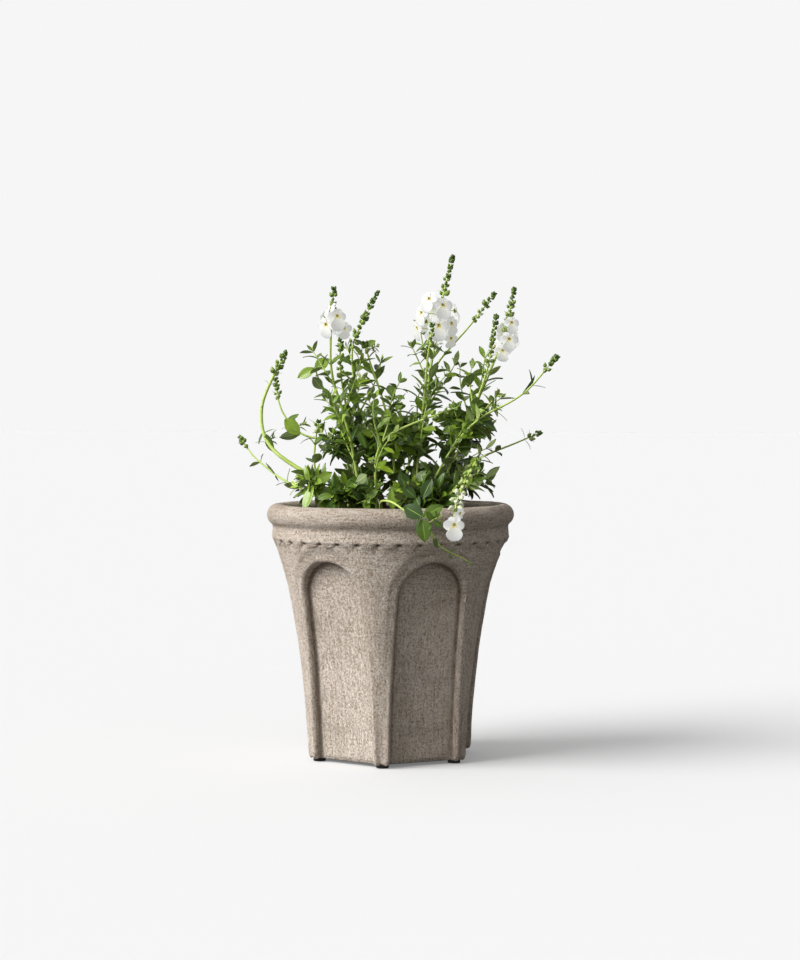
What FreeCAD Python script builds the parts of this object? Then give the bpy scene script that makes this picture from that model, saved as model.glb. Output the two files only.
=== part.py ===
import FreeCAD, Part
import math
import os
import Sketcher
from FreeCAD import Placement, Rotation, Vector

# A six-sided garden pot with a rolled rim, planted with a white-flowered plant.
# Origin: middle of the pot on the ground.  +Z up, -Y is the corner of the pot that faces forward.
doc = FreeCAD.newDocument("planter")

# Driving sizes: alias, value in millimetres, what it sets.
driving = [
    ("pot_height", 308, "ground to the top of the rim"),
    ("rim_radius", 150, "axis to the outside of the rolled rim"),
    ("roll_radius", 13, "section radius of the rolled rim"),
    ("rim_width", 24.8, "outside of the rim to the mouth"),
    ("neck_step", 7, "rim outside to the neck under it"),
    ("band_height", 42, "rim top to the lower edge of the neck band"),
    ("band_proud", 1.8, "band standing out from the flare"),
    ("pit_radius", 2.3, "each notch along the band's lower edge"),
    ("pit_depth", 2.5, "notch depth into the band"),
    ("pit_count", 36, "notches round the band"),
    ("side_count", 6, "flat sides"),
    ("base_radius", 103.5, "axis to the corners at the bottom"),
    ("base_round", 6, "rounding of the bottom edge"),
    ("flare_bow", 6, "hollow of the corner line"),
    ("base_apothem", 92.5, "axis to a flat side at the bottom"),
    ("side_bow", 4.2, "hollow of the long lower part of a side"),
    ("shoulder_height", 59, "band down to where a side starts to turn out"),
    ("shoulder_depth", 27, "neck in to the side at that height"),
    ("shoulder_bow", 2.6, "hollow of the upper part of a side"),
    ("side_overlap", 0.8, "side run out past the flare under the band"),
    ("panel_width", 83, "width of each arched panel"),
    ("panel_drop", 22, "band down to the top of the arch"),
    ("panel_recess", 5, "panel depth at the bottom"),
    ("panel_lean", 20.5, "neck in to the panel's floor at its top"),
    ("panel_bow", 6.2, "hollow of the panel's floor"),
    ("core_inset", 4, "core inside the corner line"),
    ("core_drop", 5, "band down to the top of the core"),
    ("floor_thickness", 16.5, "pot floor"),
    ("wall_base", 18.5, "flat side to the cavity at the floor"),
    ("cavity_bow", 7, "hollow of the inside wall"),
    ("mouth_drop", 12, "rim top down to the upright part of the mouth"),
    ("drain_radius", 12, "drain hole"),
    ("foot_height", 3.5, "rubber foot"),
    ("foot_radius", 7.5, "rubber foot"),
    ("foot_edge", 10, "bottom corner in to the foot's middle"),
    ("seat_gap", 0.3, "clearance between pieces that rest on or in each other"),
    ("liner_gap", 2.5, "grow pot inside the cavity"),
    ("liner_wall", 1.5, "grow pot wall"),
    ("lip_proud", 1.2, "grow pot lip standing out"),
    ("lip_height", 4, "grow pot lip, above the upright part's start"),
    ("liner_hole_radius", 5, "holes in the grow pot's floor"),
    ("liner_hole_ring", 42, "axis to those holes"),
    ("headspace", 24, "rim top down to the soil"),
    ("woody_stem", 2.8, "stem radius"),
    ("thick_stem", 2.2, "stem radius"),
    ("bloom_stem", 1.6, "stem radius"),
    ("bud_stem", 1.25, "stem radius"),
    ("bud_belly", 3.3, "bud spike, radius where it is fattest"),
    ("bud_tip", 0.5, "bud spike, radius of the blunt tip"),
    ("above_rim", 12, "how far the tools that cut the top run past it"),
]

# Sizes worked out from the driving ones.
derived = [
    ("base_level", "=dims.foot_height"),
    ("round_level", "=dims.foot_height + dims.base_round"),
    ("neck_radius", "=dims.rim_radius - dims.neck_step"),
    ("flare_top", "=dims.rim_radius - dims.neck_step - dims.band_proud"),
    ("band_level", "=dims.pot_height - dims.band_height"),
    ("band_edge_level", "=band_level + dims.band_proud"),
    ("roll_centre", "=dims.rim_radius - dims.roll_radius"),
    ("roll_level", "=dims.pot_height - dims.roll_radius"),
    ("roll_inside", "=dims.rim_radius - 2 * dims.roll_radius"),
    ("groove_level", "=roll_level - sqrt(dims.roll_radius^2 - (dims.roll_radius - dims.neck_step)^2)"),
    ("bottom_flat", "=dims.base_radius - dims.base_round"),
    ("side_flat", "=dims.base_apothem - dims.base_round"),
    ("side_top", "=flare_top + dims.side_overlap"),
    ("shoulder_level", "=band_level - dims.shoulder_height"),
    ("shoulder_apothem", "=neck_radius - dims.shoulder_depth"),
    ("clear_radius", "=dims.rim_radius + dims.above_rim"),
    ("clear_level", "=dims.pot_height + dims.above_rim"),
    ("panel_half", "=dims.panel_width / 2"),
    ("arch_top", "=band_level - dims.panel_drop"),
    ("arch_level", "=arch_top - panel_half"),
    ("panel_base", "=dims.base_apothem - dims.panel_recess"),
    ("panel_flat", "=panel_base - dims.base_round"),
    ("panel_top", "=neck_radius - dims.panel_lean"),
    ("core_level", "=band_level - dims.core_drop"),
    ("core_base", "=dims.base_radius - dims.core_inset"),
    ("core_top", "=flare_top - dims.core_inset"),
    ("pit_plane", "=neck_radius - dims.pit_depth"),
    ("floor_level", "=dims.foot_height + dims.floor_thickness"),
    ("cavity_base", "=dims.base_apothem - dims.wall_base"),
    ("mouth_radius", "=dims.rim_radius - dims.rim_width"),
    ("mouth_level", "=dims.pot_height - dims.mouth_drop"),
    ("foot_ring", "=dims.base_radius - dims.foot_edge"),
    ("liner_level", "=floor_level + dims.seat_gap"),
    ("liner_floor", "=liner_level + dims.liner_wall"),
    ("liner_base", "=cavity_base - dims.liner_gap"),
    ("liner_top", "=mouth_radius - dims.liner_gap"),
    ("lip_level", "=mouth_level + dims.lip_height"),
    ("lip_radius", "=liner_top + dims.lip_proud"),
    ("liner_base_inside", "=liner_base - dims.liner_wall"),
    ("liner_top_inside", "=liner_top - dims.liner_wall"),
    ("mix_base", "=liner_base_inside - dims.seat_gap"),
    ("mix_top", "=liner_top_inside - dims.seat_gap"),
    ("soil_level", "=dims.pot_height - dims.headspace"),
]


def bend(across, up, bow):
    """Formula for the radius of an arc from its chord and how far it bows."""
    return f"=(({across})^2 + ({up})^2) / (8 * {bow}) + {bow} / 2"


derived += [
    ("flare_bend", bend("flare_top - dims.base_radius", "band_level - round_level", "dims.flare_bow")),
    ("side_bend", bend("shoulder_apothem - dims.base_apothem", "shoulder_level - round_level", "dims.side_bow")),
    ("shoulder_bend", bend("side_top - shoulder_apothem", "band_level - shoulder_level", "dims.shoulder_bow")),
    ("core_bend", bend("core_top - core_base", "core_level - base_level", "dims.flare_bow")),
    ("panel_bend", bend("panel_top - panel_base", "core_level - round_level", "dims.panel_bow")),
    ("cavity_bend", bend("mouth_radius - cavity_base", "mouth_level - floor_level", "dims.cavity_bow")),
]

least_cut = 1  # cubic millimetres that every cut has to take away
arc_share = 0.45  # share of the shorter run beside a bend that its arc takes

# Stems: the size that sets the radius, and the route.  A point is x, y and height above the soil.
stems = {
    "woody_left": ("woody_stem", [
        (-28, -22, 0), (-28, -22, 18), (-24, -17, 40), (-28, -12, 60)]),
    "woody_right": ("thick_stem", [
        (-2, -22, 0), (-2, -22, 16), (-10, -20, 38), (-19, -26, 58)]),
    "stem_left_bloom": ("bloom_stem", [
        (-36, -8, 0), (-36, -8, 32), (-40, -20, 68), (-46, -29, 106), (-56, -38, 144),
        (-66, -45, 176), (-68, -50, 214), (-64, -51, 262)]),
    "stem_left_shoot": ("bud_stem", [
        (-44, 8, 0), (-44, 8, 42), (-47, 2, 86), (-53, -8, 142), (-59, -14, 175),
        (-60, -18, 210), (-57, -20, 232)]),
    "stem_left_bud": ("bud_stem", [
        (-24, 14, 0), (-24, 14, 44), (-33, 8, 90), (-40, 4, 142), (-46, 3, 176),
        (-48, 2, 208), (-43, 3, 230), (-29, 5, 256)]),
    "stem_left_leaves": ("bud_stem", [
        (-54, 22, 0), (-54, 22, 46), (-55, 20, 90), (-61, 16, 126), (-72, 11, 150),
        (-85, 6, 165), (-92, 3, 185)]),
    "stem_inner_left": ("bud_stem", [
        (6, -6, 0), (6, -6, 50), (3, -10, 101), (-6, -17, 145), (-15, -22, 175),
        (-23, -26, 196), (-27, -29, 214)]),
    "stem_centre_bloom": ("bloom_stem", [
        (24, 12, 0), (24, 12, 44), (29, 18, 80), (34, 23, 114), (42, 28, 156), (47, 31, 196),
        (54, 33, 230), (59, 34, 270), (65, 35, 293)]),
    "stem_centre_shoot": ("bud_stem", [
        (32, -12, 0), (32, -12, 54), (37, -4, 108), (42, -4, 160), (45, -8, 193),
        (48, -9, 216), (51, -10, 232)]),
    "stem_centre_bud": ("bud_stem", [
        (28, 34, 0), (28, 34, 52), (33, 42, 104), (38, 49, 150), (48, 57, 190),
        (67, 65, 214), (93, 75, 243), (111, 81, 268)]),
    "stem_right_bloom": ("bloom_stem", [
        (50, 10, 0), (50, 10, 34), (64, 14, 66), (83, 19, 101), (100, 26, 140), (114, 33, 173),
        (125, 39, 201), (137, 44, 230), (142, 47, 258)]),
    "stem_right_shoot": ("bud_stem", [
        (54, -8, 0), (54, -8, 34), (74, -4, 70), (92, 0, 108), (105, 0, 150), (115, -1, 176),
        (122, -2, 206), (125, -2, 228)]),
    "stem_right_bud": ("bud_stem", [
        (44, -26, 0), (44, -26, 30), (59, -24, 62), (79, -22, 95), (96, -27, 116), (118, -32, 133),
        (138, -37, 142), (156, -41, 152), (174, -45, 166), (190, -47, 186)]),
    "stem_right_low": ("bud_stem", [
        (50, 30, 0), (50, 30, 26), (72, 46, 56), (102, 54, 77), (127, 61, 88), (146, 65, 95),
        (164, 69, 103)]),
    "stem_droop": ("bud_stem", [
        (66, -52, 0), (66, -52, 22), (84, -68, 46), (104, -88, 68), (115, -104, 83),
        (110, -116, 76), (102, -122, 62), (95, -131, 45), (90, -144, 29), (89, -158, 15)]),
    "stem_cross": ("bud_stem", [
        (-12, -48, 0), (-12, -48, 40), (-13, -60, 78), (-2, -69, 104), (20, -72, 116),
        (42, -70, 125), (64, -66, 133), (86, -60, 141)]),
    "stem_left_arch": ("thick_stem", [
        (-44, -44, 0), (-44, -44, 14), (-62, -46, 32), (-91, -39, 58), (-120, -32, 74),
        (-141, -24, 89), (-155, -15, 109), (-158, -8, 140), (-151, -1, 164), (-141, 2, 184)]),
    "stem_left_curl": ("bud_stem", [
        (-62, -2, 0), (-62, -2, 16), (-83, 2, 28), (-105, 10, 38), (-126, 26, 46),
        (-146, 40, 56), (-162, 52, 67), (-180, 62, 80), (-190, 70, 93)]),
    "stem_left_side": ("bud_stem", [
        (-38, 34, 0), (-38, 34, 40), (-45, 39, 72), (-64, 45, 96), (-96, 53, 101),
        (-119, 58, 107), (-138, 64, 126), (-149, 67, 148), (-151, 71, 172)]),
    "stem_left_upright": ("bud_stem", [
        (-64, -22, 0), (-64, -22, 18), (-80, -20, 37), (-91, -20, 62), (-90, -23, 98),
        (-85, -25, 121)]),
    "stem_back_left": ("bloom_stem", [
        (-16, 46, 0), (-16, 46, 34), (-28, 68, 62), (-40, 92, 88), (-46, 118, 112)]),
    "stem_back_middle": ("bloom_stem", [
        (12, 54, 0), (12, 54, 38), (16, 78, 74), (14, 103, 100), (16, 126, 120)]),
    "stem_back_right": ("bloom_stem", [
        (44, 54, 0), (44, 54, 30), (60, 78, 56), (76, 106, 80), (88, 133, 98), (96, 152, 112)]),
}

# Stems that hang over the rim.  A point is the bearing round the pot in degrees from -Y,
# the distance out from the rim's outside and the height above the rim's top.
# The first two points stand on the soil: their third number is the height above it.
rim_stems = {
    "stem_front_trail": ("bud_stem", [
        (-4, -82, 0), (-4, -82, 16), (-2, -58, 5), (2, -32, 9), (7, -9, 8), (12, 5, -2),
        (17, 15, -11), (21, 18, -20), (23, 18, -33), (26, 18, -43), (30, 19, -50),
        (35, 20, -56), (39, 20, -63)]),
    "stem_back_trail": ("bud_stem", [
        (206, -84, 0), (206, -84, 16), (204, -60, 6), (201, -34, 12), (199, -10, 11),
        (196, 8, 2), (194, 18, -14), (191, 20, -34), (187, 18, -52)]),
}

# Leaf and flower masses: middle as x, y and height above the soil, then half sizes along x, y, z.
clumps = {
    "foliage_front_left": ((-40, -50, 35), (36, 30, 22)),
    "foliage_front_right": ((42, -58, 37), (38, 28, 23)),
    "foliage_middle": ((2, -2, 98), (44, 34, 34)),
    "foliage_right": ((92, 8, 113), (33, 30, 28)),
    "foliage_low_right": ((90, 8, 50), (31, 32, 25)),
    "foliage_back_left": ((-44, 54, 42), (36, 30, 26)),
    "foliage_back_right": ((36, 68, 44), (38, 30, 24)),
    "foliage_left": ((-63, -2, 96), (19, 26, 27)),
    "leaves_rim_left": ((-96, -54, 48), (16, 18, 22)),
    "leaves_left_side": ((-130, 62, 117), (22, 14, 17)),
    "leaves_left_arch": ((-151, -17, 101), (13, 9, 15)),
    "leaves_left_high": ((-94, 4, 176), (19, 13, 20)),
    "leaves_inner_left": ((-26, -29, 212), (17, 13, 10)),
    "leaves_centre": ((48, -9, 212), (18, 12, 10)),
    "leaves_right_arch": ((119, -32, 134), (18, 13, 16)),
    "leaves_low_right": ((106, -82, 58), (20, 14, 15)),
    "leaves_back_left": ((-45, 116, 108), (25, 18, 16)),
    "leaves_back_middle": ((15, 122, 114), (25, 18, 16)),
    "leaves_back_right": ((92, 146, 106), (22, 18, 14)),
    "flowers_left": ((-65, -52, 242), (18, 17, 19)),
    "flowers_inner": ((-55, -19, 236), (10, 10, 10)),
    "flowers_centre": ((54, 32, 250), (31, 26, 32)),
    "flowers_right": ((141, 46, 226), (13, 14, 24)),
}

# Masses that hang outside the rim: bearing, distance out and height as for the rim stems.
rim_clumps = {
    "leaves_front": ((17.5, 28, -14), (23, 12, 24)),
    "leaves_back_trail": ((193, 24, -24), (22, 12, 20)),
}

# The flower that hangs in front of the rim, on the drooping stem.
hanging_clumps = {
    "flowers_front": ((89, -163, 4), (11, 9, 18)),
}

# Bud spikes: the stem each stands on and its length.
spikes = [
    ("stem_left_bloom", 17), ("stem_left_bud", 26), ("stem_centre_bloom", 29),
    ("stem_centre_shoot", 15), ("stem_centre_bud", 16), ("stem_right_bloom", 25),
    ("stem_right_shoot", 22), ("stem_right_bud", 19), ("stem_right_low", 17),
    ("stem_left_arch", 28), ("stem_left_curl", 16),
]

dims = doc.addObject("Spreadsheet::Sheet", "dims")
for row, (alias, value, note) in enumerate(driving, 1):
    dims.set(f"A{row}", note)
    dims.set(f"B{row}", str(value))
    dims.setAlias(f"B{row}", alias)
row = len(driving)
for name, (_, halves) in {**clumps, **rim_clumps, **hanging_clumps}.items():
    for side, half in zip(("wide", "deep", "tall"), halves):
        row += 1
        dims.set(f"A{row}", f"half size of {name}")
        dims.set(f"B{row}", str(half))
        dims.setAlias(f"B{row}", f"{name}_{side}")
for name, length in spikes:
    row += 1
    dims.set(f"A{row}", f"bud spike on {name}")
    dims.set(f"B{row}", str(length))
    dims.setAlias(f"B{row}", f"{name}_spike")
doc.recompute()

for name, _ in spikes:
    derived.append((f"{name}_belly_level", f"=dims.{name}_spike / 3"))
worked = doc.addObject("Spreadsheet::Sheet", "worked")
for row, (alias, _) in enumerate(derived, 1):
    worked.set(f"A{row}", alias.replace("_", " "))
    worked.setAlias(f"B{row}", alias)
for row, (_, formula) in enumerate(derived, 1):
    worked.set(f"B{row}", formula)
doc.recompute()


def source(alias):
    """The sheet cell that holds a size, as an expression."""
    return f"dims.{alias}" if hasattr(dims, alias) else f"worked.{alias}"


def size(alias):
    """The number that a size has now."""
    return float(getattr(dims, alias) if hasattr(dims, alias) else getattr(worked, alias))


def number(place):
    """A sketch coordinate: 0, an alias, or an alias with a minus sign."""
    if place == 0:
        return 0.0
    return -size(place[1:]) if place.startswith("-") else size(place)


def new_body(name):
    body = doc.addObject("PartDesign::Body", name)
    body.Label = name
    return body


def origin_feature(body, role):
    for feature in body.Origin.OriginFeatures:
        if feature.Role == role:
            return feature


def new_sketch(body, name, role):
    sketch = body.newObject("Sketcher::SketchObject", name)
    sketch.AttachmentSupport = (origin_feature(body, role), "")
    sketch.MapMode = "FlatFace"
    return sketch


def bind(sketch, index, name, expression):
    sketch.renameConstraint(index, name)
    sketch.setExpression(f"Constraints.{name}", expression)


def place_point(sketch, edge, end, place, axis, tag):
    """Fix one coordinate of an edge's end to the sheet."""
    kind, line = (("DistanceX", -2), ("DistanceY", -1))[axis]
    if place == 0:
        sketch.addConstraint(Sketcher.Constraint("PointOnObject", edge, end, line))
    elif place.startswith("-"):
        made = Sketcher.Constraint(kind, edge, end, -1, 1, size(place[1:]))
        bind(sketch, sketch.addConstraint(made), tag, source(place[1:]))
    else:
        made = Sketcher.Constraint(kind, -1, 1, edge, end, size(place))
        bind(sketch, sketch.addConstraint(made), tag, source(place))


def draw_outline(sketch, corners):
    """Closed outline.  A corner is (across, up) or (across, up, bend, turn): the edge that
    leaves it is then an arc of that radius, turn 1 bulging outward and -1 inward, when the
    corners run anticlockwise."""
    points = [Vector(number(corner[0]), number(corner[1]), 0) for corner in corners]
    ends = []
    for index, corner in enumerate(corners):
        start, stop = points[index], points[(index + 1) % len(points)]
        if len(corner) == 2:
            edge = sketch.addGeometry(Part.LineSegment(start, stop), False)
            ends.append((edge, 1, 2))
            continue
        radius, turn = size(corner[2]), corner[3]
        chord = stop - start
        side = Vector(-chord.y, chord.x, 0).normalize() * turn
        centre = (start + stop) * 0.5 + side * math.sqrt(radius**2 - (chord.Length / 2) ** 2)
        first, last = (start, stop) if turn > 0 else (stop, start)
        angles = [math.atan2(point.y - centre.y, point.x - centre.x) for point in (first, last)]
        circle = Part.Circle(centre, Vector(0, 0, 1), radius)
        edge = sketch.addGeometry(Part.ArcOfCircle(circle, *angles), False)
        ends.append((edge, 1, 2) if turn > 0 else (edge, 2, 1))
    for index, corner in enumerate(corners):
        edge, start, stop = ends[index]
        following = ends[(index + 1) % len(ends)]
        sketch.addConstraint(Sketcher.Constraint("Coincident", edge, stop, following[0], following[1]))
        place_point(sketch, edge, start, corner[0], 0, f"across{index}")
        place_point(sketch, edge, start, corner[1], 1, f"up{index}")
        if len(corner) > 2:
            made = sketch.addConstraint(Sketcher.Constraint("Radius", edge, size(corner[2])))
            bind(sketch, made, f"bend{index}", source(corner[2]))


def draw_circle(sketch, across, up, radius):
    """Circle whose middle and radius come from the sheet."""
    circle = Part.Circle(Vector(number(across), number(up), 0), Vector(0, 0, 1), size(radius))
    edge = sketch.addGeometry(circle, False)
    place_point(sketch, edge, 3, across, 0, "across")
    place_point(sketch, edge, 3, up, 1, "up")
    made = sketch.addConstraint(Sketcher.Constraint("Radius", edge, size(radius)))
    bind(sketch, made, "radius", source(radius))


def revolve(body, name, corners, kind="Revolution"):
    sketch = new_sketch(body, f"{name}_profile", "XZ_Plane")
    draw_outline(sketch, corners)
    feature = body.newObject(f"PartDesign::{kind}", name)
    feature.Profile = sketch
    feature.ReferenceAxis = (sketch, ["V_Axis"])
    feature.Angle = 360
    return feature


def repeat(body, feature, name, count):
    pattern = body.newObject("PartDesign::PolarPattern", name)
    pattern.Originals = [feature]
    pattern.Axis = (origin_feature(body, "Z_Axis"), [""])
    pattern.Angle = 360
    pattern.setExpression("Occurrences", source(count))
    body.Tip = pattern
    return pattern


def check_cut(body, feature):
    """A cut that points the wrong way takes nothing away and reports no error."""
    doc.recompute()
    taken = feature.BaseFeature.Shape.cut(feature.Shape).Volume
    if taken < least_cut:
        raise RuntimeError(f"{feature.Name} in {body.Label} cuts nothing")


def cut_sides(body, name, corners):
    """Flat sides: the outline, pushed through along the side, takes away what stands out of it."""
    sketch = new_sketch(body, f"{name}_profile", "XZ_Plane")
    draw_outline(sketch, corners)
    pocket = body.newObject("PartDesign::Pocket", name)
    pocket.Profile = sketch
    pocket.Type = "ThroughAll"
    pocket.Midplane = True
    check_cut(body, pocket)
    repeat(body, pocket, f"{name}_round", "side_count")


# The pot: an outer shell with arched openings, a core whose faces are the panels' floors,
# and the cavity taken out of both.
shell = new_body("pot_shell")
revolve(shell, "shell_turned", [
    (0, "base_level"),
    ("bottom_flat", "base_level", "base_round", 1),
    ("base_radius", "round_level", "flare_bend", -1),
    ("flare_top", "band_level"),
    ("neck_radius", "band_edge_level"),
    ("neck_radius", "groove_level", "roll_radius", 1),
    ("roll_centre", "pot_height", "roll_radius", 1),
    ("roll_inside", "roll_level"),
    (0, "roll_level"),
])
cut_sides(shell, "shell_sides", [
    ("side_flat", 0),
    ("clear_radius", 0),
    ("clear_radius", "band_level"),
    ("side_top", "band_level", "shoulder_bend", 1),
    ("shoulder_apothem", "shoulder_level", "side_bend", 1),
    ("base_apothem", "round_level", "base_round", -1),
    ("side_flat", "base_level"),
])

arch = new_sketch(shell, "arch_outline", "YZ_Plane")
draw_outline(arch, [
    ("-panel_half", 0),
    ("panel_half", 0),
    ("panel_half", "arch_level", "panel_half", 1),
    (0, "arch_top", "panel_half", 1),
    ("-panel_half", "arch_level"),
])
arches = shell.newObject("PartDesign::Pocket", "arches")
arches.Profile = arch
arches.Type = "ThroughAll"
check_cut(shell, arches)
repeat(shell, arches, "arches_round", "side_count")

pit_sketch = new_sketch(shell, "pit_outline", "YZ_Plane")
pit_sketch.setExpression("AttachmentOffset.Base.z", source("pit_plane"))
draw_circle(pit_sketch, 0, "band_level", "pit_radius")
pits = shell.newObject("PartDesign::Pocket", "pits")
pits.Profile = pit_sketch
pits.Type = "ThroughAll"
pits.Reversed = True
check_cut(shell, pits)
repeat(shell, pits, "pits_round", "pit_count")

core = new_body("pot_core")
revolve(core, "core_turned", [
    (0, "base_level"),
    ("core_base", "base_level", "core_bend", -1),
    ("core_top", "core_level"),
    (0, "core_level"),
])
cut_sides(core, "core_sides", [
    ("panel_flat", 0),
    ("clear_radius", 0),
    ("clear_radius", "core_level"),
    ("panel_top", "core_level", "panel_bend", 1),
    ("panel_base", "round_level", "base_round", -1),
    ("panel_flat", "base_level"),
])

cavity = new_body("pot_cavity")
revolve(cavity, "cavity_turned", [
    (0, 0),
    ("drain_radius", 0),
    ("drain_radius", "floor_level"),
    ("cavity_base", "floor_level", "cavity_bend", -1),
    ("mouth_radius", "mouth_level"),
    ("mouth_radius", "clear_level"),
    (0, "clear_level"),
])

blank = doc.addObject("Part::Fuse", "pot_blank")
blank.Base = shell
blank.Tool = core
planter_body = doc.addObject("Part::Cut", "planter_body")
planter_body.Base = blank
planter_body.Tool = cavity
planter_body.Label = "planter_body"
parts = [planter_body]

# Six rubber feet under the corners of the pot.
for name, bearing in (("front", 0), ("front_right", 60), ("back_right", 120),
                      ("back", 180), ("back_left", 240), ("front_left", 300)):
    foot = doc.addObject("Part::Cylinder", f"foot_{name}")
    foot.Label = f"foot_{name}"
    foot.setExpression("Radius", "dims.foot_radius")
    foot.setExpression("Height", "dims.foot_height")
    foot.setExpression("Placement.Base.x", f"worked.foot_ring * sin({bearing} deg)")
    foot.setExpression("Placement.Base.y", f"-worked.foot_ring * cos({bearing} deg)")
    parts.append(foot)

# The plastic grow pot that stands in the cavity, and the potting mix in it.
grow_pot = new_body("grow_pot")
revolve(grow_pot, "liner_turned", [
    (0, "liner_level"),
    ("liner_base", "liner_level", "cavity_bend", -1),
    ("liner_top", "mouth_level"),
    ("lip_radius", "mouth_level"),
    ("lip_radius", "lip_level"),
    ("liner_top_inside", "lip_level"),
    ("liner_top_inside", "mouth_level", "cavity_bend", 1),
    ("liner_base_inside", "liner_floor"),
    (0, "liner_floor"),
])
hole_sketch = new_sketch(grow_pot, "liner_hole", "XY_Plane")
draw_circle(hole_sketch, "liner_hole_ring", 0, "liner_hole_radius")
holes = grow_pot.newObject("PartDesign::Pocket", "liner_holes")
holes.Profile = hole_sketch
holes.Type = "ThroughAll"
holes.Reversed = True
check_cut(grow_pot, holes)
repeat(grow_pot, holes, "liner_holes_round", "side_count")

potting_mix = new_body("potting_mix")
revolve(potting_mix, "mix_turned", [
    (0, "liner_floor"),
    ("mix_base", "liner_floor", "cavity_bend", -1),
    ("mix_top", "mouth_level"),
    (0, "mouth_level"),
])
levelled = revolve(potting_mix, "mix_levelled", [
    (0, "soil_level"),
    ("clear_radius", "soil_level"),
    ("clear_radius", "clear_level"),
    (0, "clear_level"),
], kind="Groove")
check_cut(potting_mix, levelled)
parts += [grow_pot, potting_mix]


def above_soil(point):
    return Vector(point[0], point[1], size("soil_level") + point[2])


def over_rim(point):
    """Point beside the rim from its bearing, distance out and height above the rim."""
    bearing, out, up = point
    reach = size("rim_radius") + out
    angle = math.radians(bearing)
    return Vector(reach * math.sin(angle), -reach * math.cos(angle), size("pot_height") + up)


def stem_route(name):
    if name in stems:
        return [above_soil(point) for point in stems[name][1]]
    route = [over_rim(point) for point in rim_stems[name][1]]
    for point, (_, _, up) in zip(route[:2], rim_stems[name][1]):
        point.z = size("soil_level") + up
    return route


def tangent_path(points):
    """Straight runs joined by arcs as large as the runs beside them allow."""
    edges = []
    tightest = math.inf
    last = points[0]
    for before, corner, after in zip(points, points[1:], points[2:]):
        back = (before - corner).normalize()
        on = (after - corner).normalize()
        half_turn = (math.pi - back.getAngle(on)) / 2
        reach = arc_share * min((before - corner).Length, (after - corner).Length)
        radius = reach / math.tan(half_turn)
        tightest = min(tightest, radius)
        middle = (back + on).normalize()
        top = corner + middle * (radius / math.cos(half_turn) - radius)
        edges.append(Part.LineSegment(last, corner + back * reach).toShape())
        edges.append(Part.Arc(corner + back * reach, top, corner + on * reach).toShape())
        last = corner + on * reach
    edges.append(Part.LineSegment(last, points[-1]).toShape())
    return Part.Wire(edges), tightest


def sweep_tube(name, path, start, expression):
    """A round section swept along the path from where it stands on the soil."""
    section = doc.addObject("Part::Circle", f"{name}_section")
    section.setExpression("Radius", expression)
    section.Placement = Placement(start, Rotation())
    tube = doc.addObject("Part::Sweep", name)
    tube.Sections = [section]
    tube.Spine = (path, [f"Edge{index + 1}" for index in range(len(path.Shape.Edges))])
    tube.Solid = True
    tube.Frenet = False
    return tube


# Each stem has a slightly fatter twin that cuts its way through leaves and flowers.
# The old woody stems share one node.
clearances = {}
woody = []
for name, (radius, _) in {**stems, **rim_stems}.items():
    route = stem_route(name)
    wire, tightest = tangent_path(route)
    path = doc.addObject("Part::Feature", f"{name}_path")
    path.Shape = wire
    stem = sweep_tube(name, path, route[0], f"dims.{radius}")
    clearances[name] = sweep_tube(f"{name}_clearance", path, route[0], f"dims.{radius} + dims.seat_gap")
    if name.startswith("woody"):
        woody.append(stem)
    else:
        stem.Label = name
        parts.append(stem)
    doc.recompute()
    expected = math.pi * size(radius) ** 2 * wire.Length
    print(f"{name}: length {wire.Length:.0f}, tightest bend {tightest:.0f}, "
          f"volume {stem.Shape.Volume / expected:.4f} of section times length")


def group(name, members):
    """Separate solids that share one node."""
    node = doc.addObject("Part::Compound", name)
    node.Links = members
    node.Label = name
    parts.append(node)


group("woody_crown", woody)


def make_clump(name, centre, height):
    """Ellipsoid of leaves or flowers with the stems' way cut through it.  Its poles face
    front and back, clear of the stems, which mostly pass upward."""
    mass = doc.addObject("Part::Ellipsoid", f"{name}_mass")
    mass.setExpression("Radius1", f"dims.{name}_deep")
    mass.setExpression("Radius2", f"dims.{name}_wide")
    mass.setExpression("Radius3", f"dims.{name}_tall")
    mass.Placement = Placement(centre, Rotation(Vector(1, 0, 0), 90))
    mass.setExpression("Placement.Base.z", height)
    doc.recompute()
    box = mass.Shape.BoundBox
    inside = [tube for tube in clearances.values() if box.intersect(tube.Shape.BoundBox)
              and mass.Shape.common(tube.Shape).Volume > 0]
    tool = inside[0]
    if len(inside) > 1:
        tool = doc.addObject("Part::Compound", f"{name}_ways")
        tool.Links = inside
    clump = doc.addObject("Part::Cut", name)
    clump.Base = mass
    clump.Tool = tool
    clump.Label = name
    parts.append(clump)


for name, (centre, _) in {**clumps, **hanging_clumps}.items():
    make_clump(name, above_soil(centre), f"worked.soil_level + ({centre[2]})")
for name, (centre, _) in rim_clumps.items():
    make_clump(name, over_rim(centre), f"dims.pot_height + ({centre[2]})")

# Bud spikes stand on the ends of their stems, and share one node.
spike_bodies = []
for name, _ in spikes:
    spike = new_body(f"{name}_bud")
    revolve(spike, f"{name}_bud_turned", [
        (0, 0),
        (stems[name][0], 0),
        ("bud_belly", f"{name}_belly_level"),
        ("bud_tip", f"{name}_spike"),
        (0, f"{name}_spike"),
    ])
    route = stem_route(name)
    spike.Placement = Placement(route[-1], Rotation(Vector(0, 0, 1), route[-1] - route[-2]))
    spike_bodies.append(spike)
group("bud_spikes", spike_bodies)

doc.recompute()
for thing in doc.Objects:
    if "Invalid" in thing.State or "Error" in thing.State:
        raise RuntimeError(f"{thing.Label} failed: {thing.State}")
for part in parts:
    if part.Shape.isNull() or not part.Shape.isValid() or not part.Shape.Solids:
        raise RuntimeError(f"{part.Label} has no valid solid")

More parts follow.
